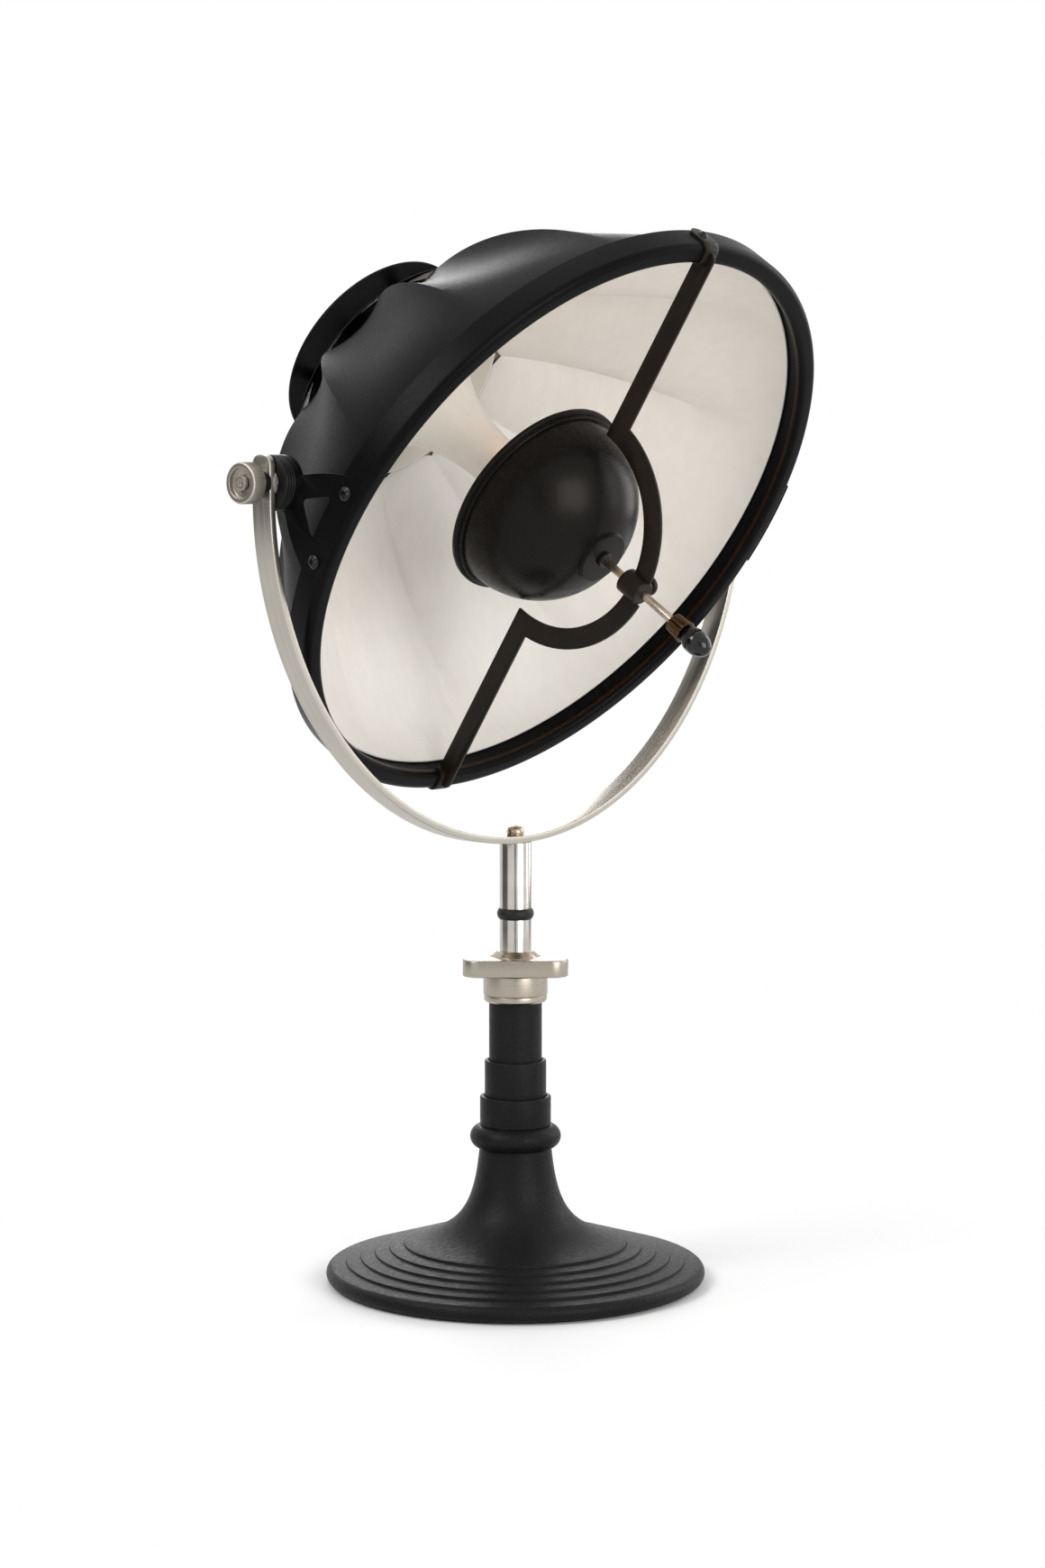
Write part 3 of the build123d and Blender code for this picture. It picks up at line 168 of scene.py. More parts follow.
def painted(name, dark, light, rough, grain, relief, level, dust=0.0, tint=(1, 1, 1)):
    """Sprayed paint: fine grain, a slow drift of tone, and roughness that follows both."""
    n = Nodes(name)
    fine = n.noise(grain, 3.0, 0.6)
    slow = n.noise(14.0, 3.0)
    speck = n.noise(grain * 0.45, 2.0, 0.7)
    tone = n.maths("ADD", n.maths("MULTIPLY", fine, 0.6), n.maths("MULTIPLY", slow, 0.4))
    body = n.mix(n.remap(tone, 0.35, 0.65), dark, light)
    if dust:
        motes = n.remap(n.noise(420.0, 2.0, 0.8), 0.7, 0.8)
        body = n.mix(n.maths("MULTIPLY", motes, dust), body, (0.12, 0.115, 0.11))
    n.colour(body)
    n.rough(n.remap(speck, 0.3, 0.7, *rough))
    n.normal(n.bump(speck, 0.35, relief * 2, n.bump(fine, 0.6, relief)))
    n.shader.inputs["Specular IOR Level"].default_value = level
    n.shader.inputs["Specular Tint"].default_value = (*tint, 1.0)
    return n.material


def along_axis(n, place, axis):
    """Distance out from a turned piece's axis and distance along it, as one vector."""
    shift = n.add("ShaderNodeVectorMath", operation="SUBTRACT")
    n.join(n.place, shift.inputs[0])
    shift.inputs[1].default_value = place
    along = n.add("ShaderNodeVectorMath", operation="DOT_PRODUCT")
    n.join(shift.outputs["Vector"], along.inputs[0])
    along.inputs[1].default_value = axis
    reach = n.add("ShaderNodeVectorMath", operation="LENGTH")
    n.join(shift.outputs["Vector"], reach.inputs[0])
    square = n.maths("MULTIPLY", reach.outputs["Value"], reach.outputs["Value"])
    run = n.maths("MULTIPLY", along.outputs["Value"], along.outputs["Value"])
    out = n.maths("POWER", n.maths("MAXIMUM", n.maths("SUBTRACT", square, run), 0.0), 0.5)
    pair = n.add("ShaderNodeCombineXYZ")
    n.join(out, pair.inputs[0])
    n.join(along.outputs["Value"], pair.inputs[1])
    return pair.outputs[0]


def turned_metal(name, dark, light, rough, axis=(0, 0, 1), place=(0, 0, 0)):
    """Metal turned on a lathe, then satin finished: rings round the axis, fine and uneven."""
    n = Nodes(name)
    rings = n.noise(2600.0, 2.0, 0.6, vector=along_axis(n, place, axis))
    cloud = n.noise(45.0, 3.0)
    n.colour(n.mix(n.remap(rings, 0.3, 0.7), dark, light))
    wear = n.maths("ADD", n.maths("MULTIPLY", rings, 0.6), n.maths("MULTIPLY", cloud, 0.4))
    n.rough(n.remap(wear, 0.35, 0.65, *rough))
    n.normal(n.bump(rings, 0.3, 0.00002))
    n.set(Metallic=1.0)
    return n.material


def strip_metal(name, dark, light, rough):
    """Bent strip, brushed along its length: lines that run round the bend."""
    n = Nodes(name)
    lines = n.noise(900.0, 2.0, 0.5, vector=along_axis(n, (0, 0, YOKE_CENTRE * MM), (0, 1, 0)))
    cloud = n.noise(30.0, 4.0, 0.6)
    n.colour(n.mix(n.remap(n.maths("ADD", lines, n.maths("MULTIPLY", cloud, 0.5)), 0.5, 1.0), dark, light))
    n.rough(n.remap(lines, 0.35, 0.65, *rough))
    n.normal(n.bump(lines, 0.04, 0.00001))
    n.set(Metallic=1.0)
    return n.material


def plain_metal(name, dark, light, rough):
    """Polished or plated metal: faint wipe marks and clouding."""
    n = Nodes(name)
    cloud = n.noise(60.0, 4.0, 0.6)
    fine = n.noise(1800.0, 2.0)
    n.colour(n.mix(n.remap(cloud, 0.3, 0.7), dark, light))
    n.rough(n.remap(cloud, 0.3, 0.7, *rough))
    n.normal(n.bump(fine, 0.05, 0.00001))
    n.set(Metallic=1.0)
    return n.material


def moulded(name, dark, light, rough, relief=0.00001, scale=500.0, level=0.5):
    """Rubber, resin, felt, glass or porcelain: an even body with a slight unevenness of the skin."""
    n = Nodes(name)
    skin = n.noise(scale, 3.0)
    cloud = n.noise(30.0, 2.0)
    n.colour(n.mix(n.remap(cloud, 0.3, 0.7), dark, light))
    n.rough(n.remap(skin, 0.3, 0.7, *rough))
    n.normal(n.bump(skin, 0.3, relief))
    n.shader.inputs["Specular IOR Level"].default_value = level
    return n.material


def enamelled(name, dark, light):
    """White reflector paint: brushed faintly along the head's axis, with soft smudges."""
    n = Nodes(name)
    streaks = n.noise(60.0, 3.0, 0.6, stretch=(3.0, 1.0, 1.0))
    smudge = n.noise(9.0, 4.0, 0.6)
    skin = n.noise(350.0, 2.0, 0.5)
    tone = n.maths("ADD", n.maths("MULTIPLY", streaks, 0.4), n.maths("MULTIPLY", smudge, 0.6))
    n.colour(n.mix(n.remap(tone, 0.35, 0.65), dark, light))
    n.rough(n.remap(streaks, 0.3, 0.7, 0.32, 0.5))
    n.normal(n.bump(smudge, 0.12, 0.0012, n.bump(skin, 0.25, 0.00003)))
    n.shader.inputs["Specular IOR Level"].default_value = 0.4
    return n.material


PIVOT = (0.0, 0.0, PIVOT_HEIGHT * MM)

base_black = painted(
    "base_black", (0.005, 0.005, 0.0052), (0.0125, 0.0125, 0.013),
    rough=(0.34, 0.52), grain=900.0, relief=0.0003, level=0.1, dust=0.25,
)
shade_black = painted(
    "shade_black", (0.0035, 0.0034, 0.0033), (0.008, 0.0078, 0.0076),
    rough=(0.38, 0.5), grain=1500.0, relief=0.00015, level=0.05,
)
hoop_black = painted(
    "hoop_black", (0.0022, 0.0022, 0.0023), (0.0052, 0.0052, 0.0054),
    rough=(0.28, 0.38), grain=1300.0, relief=0.00012, level=0.045,
)
# Brown-black with a warm specular tint: a painted warm reflection of the lit shade on the hoop's inner lip.
hoop_lip_painted_glow = painted(
    "hoop_lip_painted_glow", (0.012, 0.006, 0.0027), (0.02, 0.0097, 0.0043),
    rough=(0.3, 0.42), grain=1300.0, relief=0.0001, level=0.1, tint=(1.0, 0.62, 0.34),
)
# The cup's warm specular tint is a painted warm reflection of the lit shade.
cup_black = painted(
    "cup_black", (0.0035, 0.003, 0.0026), (0.008, 0.007, 0.006),
    rough=(0.26, 0.31), grain=1400.0, relief=0.00005, level=0.12, tint=(1.0, 0.92, 0.82),
)
bronze_black = painted(
    "bronze_black", (0.008, 0.0056, 0.004), (0.018, 0.0125, 0.009),
    rough=(0.3, 0.45), grain=1400.0, relief=0.0001, level=0.15,
)
reflector_white = enamelled("reflector_white", (0.76, 0.728, 0.68), (0.825, 0.798, 0.755))
satin_nickel = turned_metal("satin_nickel", (0.37, 0.325, 0.27), (0.45, 0.405, 0.345), (0.26, 0.36))
collet_nickel = turned_metal("collet_nickel", (0.4, 0.33, 0.25), (0.53, 0.45, 0.36), (0.2, 0.32))
knob_nickel = turned_metal(
    "knob_nickel", (0.38, 0.345, 0.3), (0.5, 0.46, 0.405), (0.3, 0.46), axis=(1, 0, 0), place=PIVOT
)
brushed_nickel = strip_metal("brushed_nickel", (0.44, 0.41, 0.36), (0.52, 0.49, 0.44), (0.3, 0.38))
polished_nickel = plain_metal("polished_nickel", (0.5, 0.47, 0.435), (0.6, 0.57, 0.53), (0.15, 0.22))
screw_nickel = plain_metal("screw_nickel", (0.38, 0.3, 0.2), (0.52, 0.43, 0.31), (0.16, 0.28))
ferrule_bronze = plain_metal("ferrule_bronze", (0.06, 0.034, 0.018), (0.14, 0.084, 0.045), (0.25, 0.38))
rod_nickel = plain_metal("rod_nickel", (0.45, 0.37, 0.28), (0.58, 0.5, 0.4), (0.18, 0.28))
black_oxide = painted(
    "black_oxide", (0.004, 0.004, 0.004), (0.01, 0.0098, 0.0095),
    rough=(0.22, 0.36), grain=1600.0, relief=0.00004, level=0.25,
)
steel = plain_metal("steel", (0.36, 0.36, 0.36), (0.46, 0.46, 0.46), (0.25, 0.4))
brass = plain_metal("brass", (0.6, 0.45, 0.2), (0.72, 0.56, 0.28), (0.2, 0.35))
gloss_black = moulded("gloss_black", (0.003, 0.003, 0.003), (0.007, 0.007, 0.007), (0.06, 0.14), level=0.4)
satin_black = moulded("satin_black", (0.004, 0.004, 0.004), (0.009, 0.009, 0.009), (0.28, 0.4), level=0.15)
rubber_black = moulded(
    "rubber_black", (0.006, 0.006, 0.006), (0.013, 0.013, 0.013), (0.4, 0.55), relief=0.00004, level=0.25
)
felt_black = moulded(
    "felt_black", (0.01, 0.01, 0.01), (0.03, 0.03, 0.03), (0.9, 1.0), relief=0.0003, scale=1500.0, level=0.1
)
porcelain = moulded("porcelain", (0.78, 0.75, 0.7), (0.84, 0.82, 0.77), (0.12, 0.2))
frosted_glass = moulded("frosted_glass", (0.9, 0.89, 0.87), (0.95, 0.94, 0.92), (0.3, 0.45))
frosted_glass.node_tree.nodes["Principled BSDF"].inputs["Transmission Weight"].default_value = 0.6

FINISH = {
    base_black: "base_casting base_ring lower_sleeve upper_sleeve column_tube",
    shade_black: "shade_shell rear_bulkhead rear_dish",
    hoop_black: "rim_hoop left_bracket right_bracket",
    cup_black: "shield_cup",
    bronze_black: "crossbar rim_clips rod_sleeve thumbscrew",
    ferrule_bronze: "ball_ferrule",
    reflector_white: "shade_lining light_cone",
    satin_nickel: "collar_seat collar clamp_nut",
    collet_nickel: "collet",
    knob_nickel: "left_knob right_knob knob_screws",
    screw_nickel: "yoke_screw",
    brushed_nickel: "yoke",
    polished_nickel: "stem",
    rod_nickel: "shield_rod",
    black_oxide: "knob_bushes rear_posts post_screws clip_screws bracket_screws shield_nut",
    steel: "column_washer column_nut stem_clip pivot_washers pivot_studs",
    brass: "guide_bush stem_guide",
    gloss_black: "ball_knob",
    satin_black: "left_spacer right_spacer cable_gland",
    rubber_black: "stem_ring shield_grommet",
    felt_black: "base_pad",
    porcelain: "lampholder",
    frosted_glass: "bulb",
}
# Every node gets its finish here; the pieces below stand for those that are modelled finer.
for material, names in FINISH.items():
    for name in names.split():
        for slot in nodes[name].material_slots:
            slot.material = material

# ------------------------------------------------------------------ mesh helpers (millimetres in, metres out)
ON_AXIS = 1e-6  # a smaller radius counts as none
WORLD = Matrix.Identity(4)
HEAD = Matrix(
    (
        (1, 0, 0, 0),
        (0, -sin(TILT), -cos(TILT), 0),
        (0, cos(TILT), -sin(TILT), PIVOT_HEIGHT),
        (0, 0, 0, 1),
    )
)


def along_x(side):
    """Frame whose Z runs out along the pivots' line, to the right (1) or the left (-1)."""
    return Matrix(((0, 0, side, 0), (side, 0, 0, 0), (0, 1, 0, PIVOT_HEIGHT), (0, 0, 0, 1)))


def add_piece(
    name, points, faces, material, body, stands_for, place=WORLD, sharp=35.0, second=None, second_faces=()
):
    """Mesh object in the row frame that rides on a body and stands for CAD nodes; sharp is in degrees."""
    mesh = bpy.data.meshes.new(name)
    mesh.from_pydata([(place @ Vector(p)) * MM for p in points], [], faces)
    mesh.materials.append(material)
    if second:
        mesh.materials.append(second)
        for index in second_faces:
            mesh.polygons[index].material_index = 1
    mesh.validate()
    work = bmesh.new()
    work.from_mesh(mesh)
    bmesh.ops.recalc_face_normals(work, faces=work.faces)
    work.to_mesh(mesh)
    work.free()
    mesh.shade_smooth()
    mesh.set_sharp_from_angle(angle=radians(sharp))
    piece = bpy.data.objects.new(name, mesh)
    bpy.context.scene.collection.objects.link(piece)
    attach(piece, body)
    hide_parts(*stands_for)
    return piece


STRAIGHT = radians(176)  # a corner that is flatter than this is left alone
EDGE_SHARE = 0.48  # the most of an edge that one rounding takes


def rounded(points, radius, steps, closed=True):
    """Outline with each corner rounded; a corner is (x, y) or (x, y, its own radius)."""
    out = []
    count = len(points)
    for i, corner in enumerate(points):
        here = Vector(corner[:2])
        size = corner[2] if len(corner) > 2 else radius
        if size == 0 or (not closed and i in (0, count - 1)):
            out.append(tuple(here))
            continue
        back = Vector(points[i - 1][:2]) - here
        ahead = Vector(points[(i + 1) % count][:2]) - here
        angle = back.angle(ahead)
        if angle > STRAIGHT:
            out.append(tuple(here))
            continue
        reach = min(size / tan(angle / 2), EDGE_SHARE * back.length, EDGE_SHARE * ahead.length)
        start, end = here + back.normalized() * reach, here + ahead.normalized() * reach
        for step in range(steps + 1):
            t = step / steps
            out.append(tuple(start * (1 - t) ** 2 + here * 2 * t * (1 - t) + end * t**2))
    return out


def arc(centre, radius, start, end, steps):
    """Points of an arc, angles in degrees."""
    return [
        (
            centre[0] + radius * cos(radians(start + (end - start) * i / steps)),
            centre[1] + radius * sin(radians(start + (end - start) * i / steps)),
        )
        for i in range(steps + 1)
    ]


def bezier(p0, p1, p2, p3, steps):
    """Points of a cubic curve without its first point."""
    out = []
    for i in range(1, steps + 1):
        t = i / steps
        out.append(
            tuple(
                (1 - t) ** 3 * a + 3 * (1 - t) ** 2 * t * b + 3 * (1 - t) * t**2 * c + t**3 * d
                for a, b, c, d in zip(p0, p1, p2, p3)
            )
        )
    return out


def revolve(profile, segments, star=None):
    """Turn a closed (radius, height) outline about Z. star(radius, height, angle) may move a radius."""
    points, faces, rings = [], [], []
    for radius, height in profile:
        if radius < ON_AXIS:
            rings.append([len(points)] * segments)
            points.append((0, 0, height))
            continue
        rings.append(list(range(len(points), len(points) + segments)))
        for k in range(segments):
            angle = 2 * pi * k / segments
            r = star(radius, height, angle) if star else radius
            points.append((r * cos(angle), r * sin(angle), height))
    for i in range(len(rings)):
        low, high = rings[i], rings[(i + 1) % len(rings)]
        for k in range(segments):
            face = [low[k], low[(k + 1) % segments], high[(k + 1) % segments], high[k]]
            face = list(dict.fromkeys(face))
            if len(face) > 2:
                faces.append(face)
    return points, faces


def lathe(
    name, profile, material, body, stands_for, place, segments, sharp, second=None, spans=(), star=None
):
    """Turned piece; the spans of the profile that are listed take a second material."""
    points, faces = revolve(profile, segments, star)
    owner = []
    count = len(profile)
    for i in range(count):
        flat = profile[i][0] < ON_AXIS and profile[(i + 1) % count][0] < ON_AXIS
        owner += [] if flat else [i] * segments
    second_faces = [k for k, span in enumerate(owner) if span in set(spans)] if second else ()
    return add_piece(name, points, faces, material, body, stands_for, place, sharp, second, second_faces)


def softened(name, width):
    """A CAD node's own shape with its edges eased, as a deburred and painted piece has them."""
    sharp = radians(30.0)
    source = nodes[name]
    mesh = bpy.data.meshes.new(name + "_eased")
    work = bmesh.new()
    work.from_mesh(source.data)
    bmesh.ops.remove_doubles(work, verts=work.verts, dist=0.00001)
    bmesh.ops.dissolve_limit(work, angle_limit=radians(0.6), verts=work.verts, edges=work.edges)
    edges = [e for e in work.edges if len(e.link_faces) == 2 and e.calc_face_angle(0) > sharp]
    bmesh.ops.bevel(
        work, geom=edges, offset=width * MM, segments=2, profile=0.5, affect="EDGES", clamp_overlap=True
    )
    work.to_mesh(mesh)
    work.free()
    for slot in source.material_slots:
        mesh.materials.append(slot.material)
    mesh.shade_smooth()
    mesh.set_sharp_from_angle(angle=sharp)
    piece = bpy.data.objects.new(name + "_eased", mesh)
    bpy.context.scene.collection.objects.link(piece)
    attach(piece, source["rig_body"])
    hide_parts(name)
    return piece


# ------------------------------------------------------------------ the scalloped shade and its lining
PANELS = 12
SHADE_FRONT, SHADE_REAR = 10.0, 163.0  # depths behind the hoop's lip
SHADE_RADIUS = 195.1
SHADE_REACH, SHADE_POWER = 177.0, 1.47
SAG, SAG_AT, SAG_REAR, SAG_ONSET = 17.0, 0.7, 9.5, 2.2


def ridge_radius(depth):
    """Radius of the ridges between the panels."""
    return SHADE_RADIUS * sqrt(1 - ((depth - SHADE_FRONT) / SHADE_REACH) ** SHADE_POWER)


def panel_sag(depth):
    """How far the middle of a panel lies inside the ridges."""
    share = (depth - SHADE_FRONT) / (SHADE_REAR - SHADE_FRONT)
    if share < SAG_AT:
        return SAG * sin(pi / 2 * share / SAG_AT) ** SAG_ONSET
    return SAG - (SAG - SAG_REAR) * ((share - SAG_AT) / (1 - SAG_AT)) ** 2


def panel_rows(inset):
    """Rows of points round the shade at each depth, this far inside its outer face."""
    across, along = 20, 72
    rows = []
    for j in range(along + 1):
        depth = SHADE_FRONT + (SHADE_REAR - SHADE_FRONT) * j / along
        slope = ridge_radius(max(depth - 1, SHADE_FRONT)) - ridge_radius(depth)
        outer = ridge_radius(depth) - inset * sqrt(1 + slope**2)
        chord, side = outer * cos(pi / PANELS), outer * sin(pi / PANELS)
        bow = outer - panel_sag(depth) - chord
        row = []
        for panel in range(PANELS):
            turn = 2 * pi * panel / PANELS
            for i in range(across):
                y = side * (2 * i / across - 1)
                x = chord
                if abs(bow) > 1e-4:
                    radius = (side**2 + bow**2) / (2 * abs(bow))
                    lift = sqrt(radius**2 - y**2) - (radius - abs(bow))
                    x += lift if bow > 0 else -lift
                row.append((x * cos(turn) - y * sin(turn), x * sin(turn) + y * cos(turn), LIP - depth))
        rows.append(row)
    return rows


def panelled_sheet(name, outer_inset, inner_inset, material, node):
    """Both faces of one layer of the shade, closed along its front and rear edges."""
    rows = panel_rows(outer_inset) + panel_rows(inner_inset)[::-1]
    count = len(rows[0])
    points = [p for row in rows for p in row]
    faces = []
    for j in range(len(rows)):
        low, high = j * count, (j + 1) % len(rows) * count
        for k in range(count):
            ahead = (k + 1) % count
            faces.append((low + k, high + k, high + ahead, low + ahead))
    add_piece(name, points, faces, material, "head", [node], HEAD, sharp=40.0)


# The outer sheet ends a hair short of the lining, so that the two don't share a face.
panelled_sheet("shade_outer", 0.0, 0.97, shade_black, "shade_shell")
panelled_sheet("shade_inner", 1.0, 2.0, reflector_white, "shade_lining")

# ------------------------------------------------------------------ hoop, bulkhead, cone and dish
# Outlines are (radius, height); on the head, height runs forward from the pivot along its axis.
hoop_profile = (
    [(HOOP_RADIUS, LIP - 12.25)]
    + arc((200.5, LIP + 1.83), 4.5, 0, 90, 8)
    + arc((195.84, LIP + 2.83), 3.5, 90, 180, 8)
    + [(192.34, LIP + 0.4), (192.74, LIP), (193.74, LIP), (194.14, LIP + 0.4)]
    + arc((195.84, LIP + 2.83), 1.7, 180, 112, 4)
    + [(195.2, LIP - 16.25), (197.0, LIP - 16.25), (197.0, LIP + 4.53)]
    + arc((200.5, LIP + 1.83), 2.7, 90, 0, 5)
    + [(203.2, LIP - 12.25)]
)
# The hoop's inner lip takes the second material, whose browner colour and warm tint are a painted warm
# reflection.
inside = [i for i, (r, z) in enumerate(hoop_profile) if r < 195.3 and z < LIP + 3.2]
lathe(
    "hoop", hoop_profile, hoop_black, "head", ["rim_hoop"], HEAD, segments=288, sharp=40.0,
    second=hoop_lip_painted_glow, spans=inside[:-1],
)

NECK_OUTER, NECK_INNER, SKIRT = 72.12, 70.92, 86.5  # radii
PLATE_FRONT, PLATE_REAR = -124.35, -125.55
FLARE_FOOT = -114.05
bulkhead_profile = rounded(
    [
        (6.5, PLATE_REAR),
        (72.42, PLATE_REAR),
        (SKIRT, -115.25),
        (SKIRT, FLARE_FOOT),
        *[(SKIRT - 14.38 * i / 10, FLARE_FOOT - 10.52 * i / 10) for i in range(1, 10)],
        (NECK_OUTER, -124.57),
        (NECK_OUTER, -110.25),
        (NECK_INNER, -110.25),
        (NECK_INNER, PLATE_FRONT),
        (6.5, PLATE_FRONT),
    ],
    0.4,
    2,
)
points, faces = revolve(bulkhead_profile, 240)
rear_edge = [Vector(p) for p in panel_rows(0.0)[-1]]
RIDGE_EDGE = 77.5  # the shade's rear edge lies further out than this near a ridge
# White are the front of the plate inside the neck with the neck's inner face, and the flare's front
# near a ridge, where it can be seen from inside the shade. The rest is black.
white_faces = []
for k, face in enumerate(faces):
    middle = sum((Vector(points[i]) for i in face), Vector()) / len(face)
    reach = middle.xy.length
    edge = min(rear_edge, key=lambda p: (p - middle).length).xy.length
    within_neck = reach < NECK_OUTER - 0.32 and middle.z > PLATE_REAR + 0.55
    flare_front = reach > NECK_OUTER + 0.18 and middle.z > 0.7316 * (reach - NECK_OUTER) - 125.2
    seen_past_shade = edge > RIDGE_EDGE and reach < min(edge + 0.9, SKIRT - 0.1)
    if within_neck or (flare_front and seen_past_shade):
        white_faces.append(k)
add_piece(
    "bulkhead", points, faces, shade_black, "head", ["rear_bulkhead"], HEAD, sharp=30.0,
    second=reflector_white, second_faces=white_faces,
)

CONE_WALL = 1.15
cone_line = [(70.82, PLATE_FRONT)] + bezier(
    (70.82, PLATE_FRONT), (39.85, -105.65), (16.0, -79.0), (16.0, -11.0), 40
) + [(16.0, 11.6), (15.6, 12.0)]
cone_inside = []
for i, (r, z) in enumerate(cone_line[:-1]):
    run = Vector(cone_line[i + 1]) - Vector(cone_line[max(i - 1, 0)])
    run.normalize()
    cone_inside.append((r - CONE_WALL * run.y, max(z + CONE_WALL * run.x, PLATE_FRONT)))
cone_inside[-1] = (14.85, 12.0)
lathe(
    "cone", cone_line + cone_inside[::-1], reflector_white, "head", ["light_cone"], HEAD,
    segments=160, sharp=40.0,
)

DISH_CENTRE, DISH_REAR, DISH_FRONT = 21.5004, 183.0, 181.5004  # the sphere's centre, radii of the two faces
DISH_HOLE, DISH_EDGE = 5.2, 69.9


def dish_line(sphere, radii):
    """Points of one face of the dish, which is part of a sphere."""
    return [(r, DISH_CENTRE - sqrt(sphere**2 - r**2)) for r in radii]


steps = [DISH_HOLE + (69.3 - DISH_HOLE) * i / 24 for i in range(25)]
dish_profile = dish_line(DISH_REAR, steps) + rounded(
    dish_line(DISH_REAR, [DISH_EDGE]) + [(DISH_EDGE, -146.0)] + dish_line(DISH_FRONT, [69.4]), 0.5, 3, False
) + dish_line(DISH_FRONT, steps[::-1])
lathe("dish", dish_profile, shade_black, "head", ["rear_dish"], HEAD, segments=160, sharp=30.0)

# ------------------------------------------------------------------ shield, rod, ferrule and ball
CUP_CENTRE, CUP_OUTER, CUP_INNER = (0, 24.85), 62.5, 61.3
cup_profile = (
    rounded(
        [
            (61.3, 20.85),
            (67.1, 20.85),
            (67.1, 24.05, 1.2),
            (64.6, 24.05, 0.3),
            (64.6, 26.65, 1.0),
            (62.47, 26.65, 0.3),
        ],
        0.5,
        4,
        False,
    )
    + arc(CUP_CENTRE, CUP_OUTER, 3.0, 73.2, 40)
    + rounded([(17.6, 84.83, 0.8), (17.5, 88.15, 0.9), (2.65, 88.15)], 0.8, 4, False)[1:]
    + arc(CUP_CENTRE, CUP_INNER, 87.5, 0, 36)
)
lathe("cup", cup_profile, cup_black, "shield", ["shield_cup"], HEAD, segments=192, sharp=30.0)
# The rod starts where the CAD rod does: further in, it meets the bulb when the shield is pushed in.
ROD_START, ROD_END, ROD_RADIUS = 80.0, 175.0, 2.6
lathe(
    "rod",
    rounded([(0, ROD_START), (ROD_RADIUS, ROD_START), (ROD_RADIUS, ROD_END), (0, ROD_END)], 0.3, 2),
    rod_nickel, "shield", ["shield_rod"], HEAD, segments=48, sharp=40.0,
)
FLUTES, FLUTE_DEPTH = 14, 0.75
lathe(
    "ferrule",
    rounded([(2.62, 155.35), (6.15, 155.35), (7.5, 167.25), (2.62, 167.25)], 0.5, 3),
    ferrule_bronze,
    "shield",
    ["ball_ferrule"],
    HEAD,
    segments=168,
    sharp=40.0,
    star=lambda r, z, a: r - FLUTE_DEPTH * max(cos(FLUTES * a), 0.0) ** 1.5 * min(1.0, max(0.0, r - 4.5)),
)
lathe(
    "ball",
    [(2.7, 167.25)] + [(8 * cos(radians(t)), 176.65 + 11.4 * sin(radians(t))) for t in range(-54, 91, 4)]
    + [(0, 188.05), (0, 176.0), (2.7, 176.0)],
    gloss_black,
    "shield",
    ["ball_knob"],
    HEAD,
    segments=96,
    sharp=60.0,
)

# ------------------------------------------------------------------ pivots: spacers and knobs
SPACER_FROM, SPACER_TO, RIBS, RIB_PITCH = 210.5, 218.5, 4, 2.0
KNURLS, KNURL_DEPTH = 48, 0.34
for side, tag in ((1, "right"), (-1, "left")):
    ribs = [(5.0, SPACER_FROM), (15.9, SPACER_FROM)]
    for rib in range(RIBS):
        start = SPACER_FROM + RIB_PITCH * rib
        ribs += [(16.1, start + 0.15), (16.6, start + 0.6), (16.6, start + 1.4), (16.1, start + 1.85)]
        if rib < RIBS - 1:
            ribs.append((15.55, start + RIB_PITCH))
    ribs += [(15.9, SPACER_TO), (5.0, SPACER_TO)]
    lathe(
        f"{tag}_ribbed_spacer", ribs, satin_black, "head", [f"{tag}_spacer"], along_x(side),
        segments=96, sharp=60.0,
    )
    grip = rounded(
        [
            (5.06, 231.1),
            (11.9, 231.1, 0.6),
            (12.25, 231.6, 0.3),
            (12.25, 240.0, 0.3),
            (11.5, 240.8, 0.6),
            (9.1, 240.8, 0.3),
            (8.9, 238.2, 0.2),
            (2.3, 238.2, 0.1),
            (2.3, 235.3, 0.1),
            (5.06, 235.3, 0.1),
        ],
        0.3,
        2,
    )
    lathe(
        f"{tag}_knurled_knob", grip, knob_nickel, f"knob_{tag}", [f"{tag}_knob"], along_x(side),
        segments=384, sharp=60.0,
        star=lambda r, z, a: r - KNURL_DEPTH * abs(sin(KNURLS * a)) if r > 12.0 else r,
    )

# ------------------------------------------------------------------ yoke
ARM_DROPS = (0.0, 0.4, 1.2, 2.5, 4.2, 6.0, 14.0, 23.7)  # below the arm's end, down to the bend
BEND_STEPS = 180
yoke_points, yoke_faces = [], []
stations = []  # a place on the inside of the strip, the way out from it, and half the strip's width
for drop in ARM_DROPS:
    corner = max(YOKE_CORNER - drop, 0.0)
    half = YOKE_HALF - YOKE_CORNER + sqrt(YOKE_CORNER**2 - corner**2)
    stations.append(((YOKE_RADIUS, YOKE_TOP - drop), (1.0, 0.0), half))
for i in range(1, BEND_STEPS):
    a = -pi * i / BEND_STEPS
    place = (YOKE_RADIUS * cos(a), YOKE_CENTRE + YOKE_RADIUS * sin(a))
    stations.append((place, (cos(a), sin(a)), YOKE_HALF))
stations += [((-x, z), (-1.0, 0.0), h) for (x, z), _, h in stations[len(ARM_DROPS) - 1 :: -1]]
for (x, z), (ox, oz), half in stations:
    section = [(0, -half), (YOKE_THICKNESS, -half), (YOKE_THICKNESS, half), (0, half)]
    for out, y in rounded(section, 0.55, 3):
        yoke_points.append((x + ox * out, y, z + oz * out))
ring = len(yoke_points) // len(stations)
for i in range(len(stations) - 1):
    for k in range(ring):
        a, b = i * ring + k, i * ring + (k + 1) % ring
        yoke_faces.append((a, b, b + ring, a + ring))
yoke_faces.append(tuple(range(ring)))
yoke_faces.append(tuple(range(len(yoke_points) - ring, len(yoke_points))))
add_piece("bent_yoke", yoke_points, yoke_faces, brushed_nickel, "stem_yoke", ["yoke"])

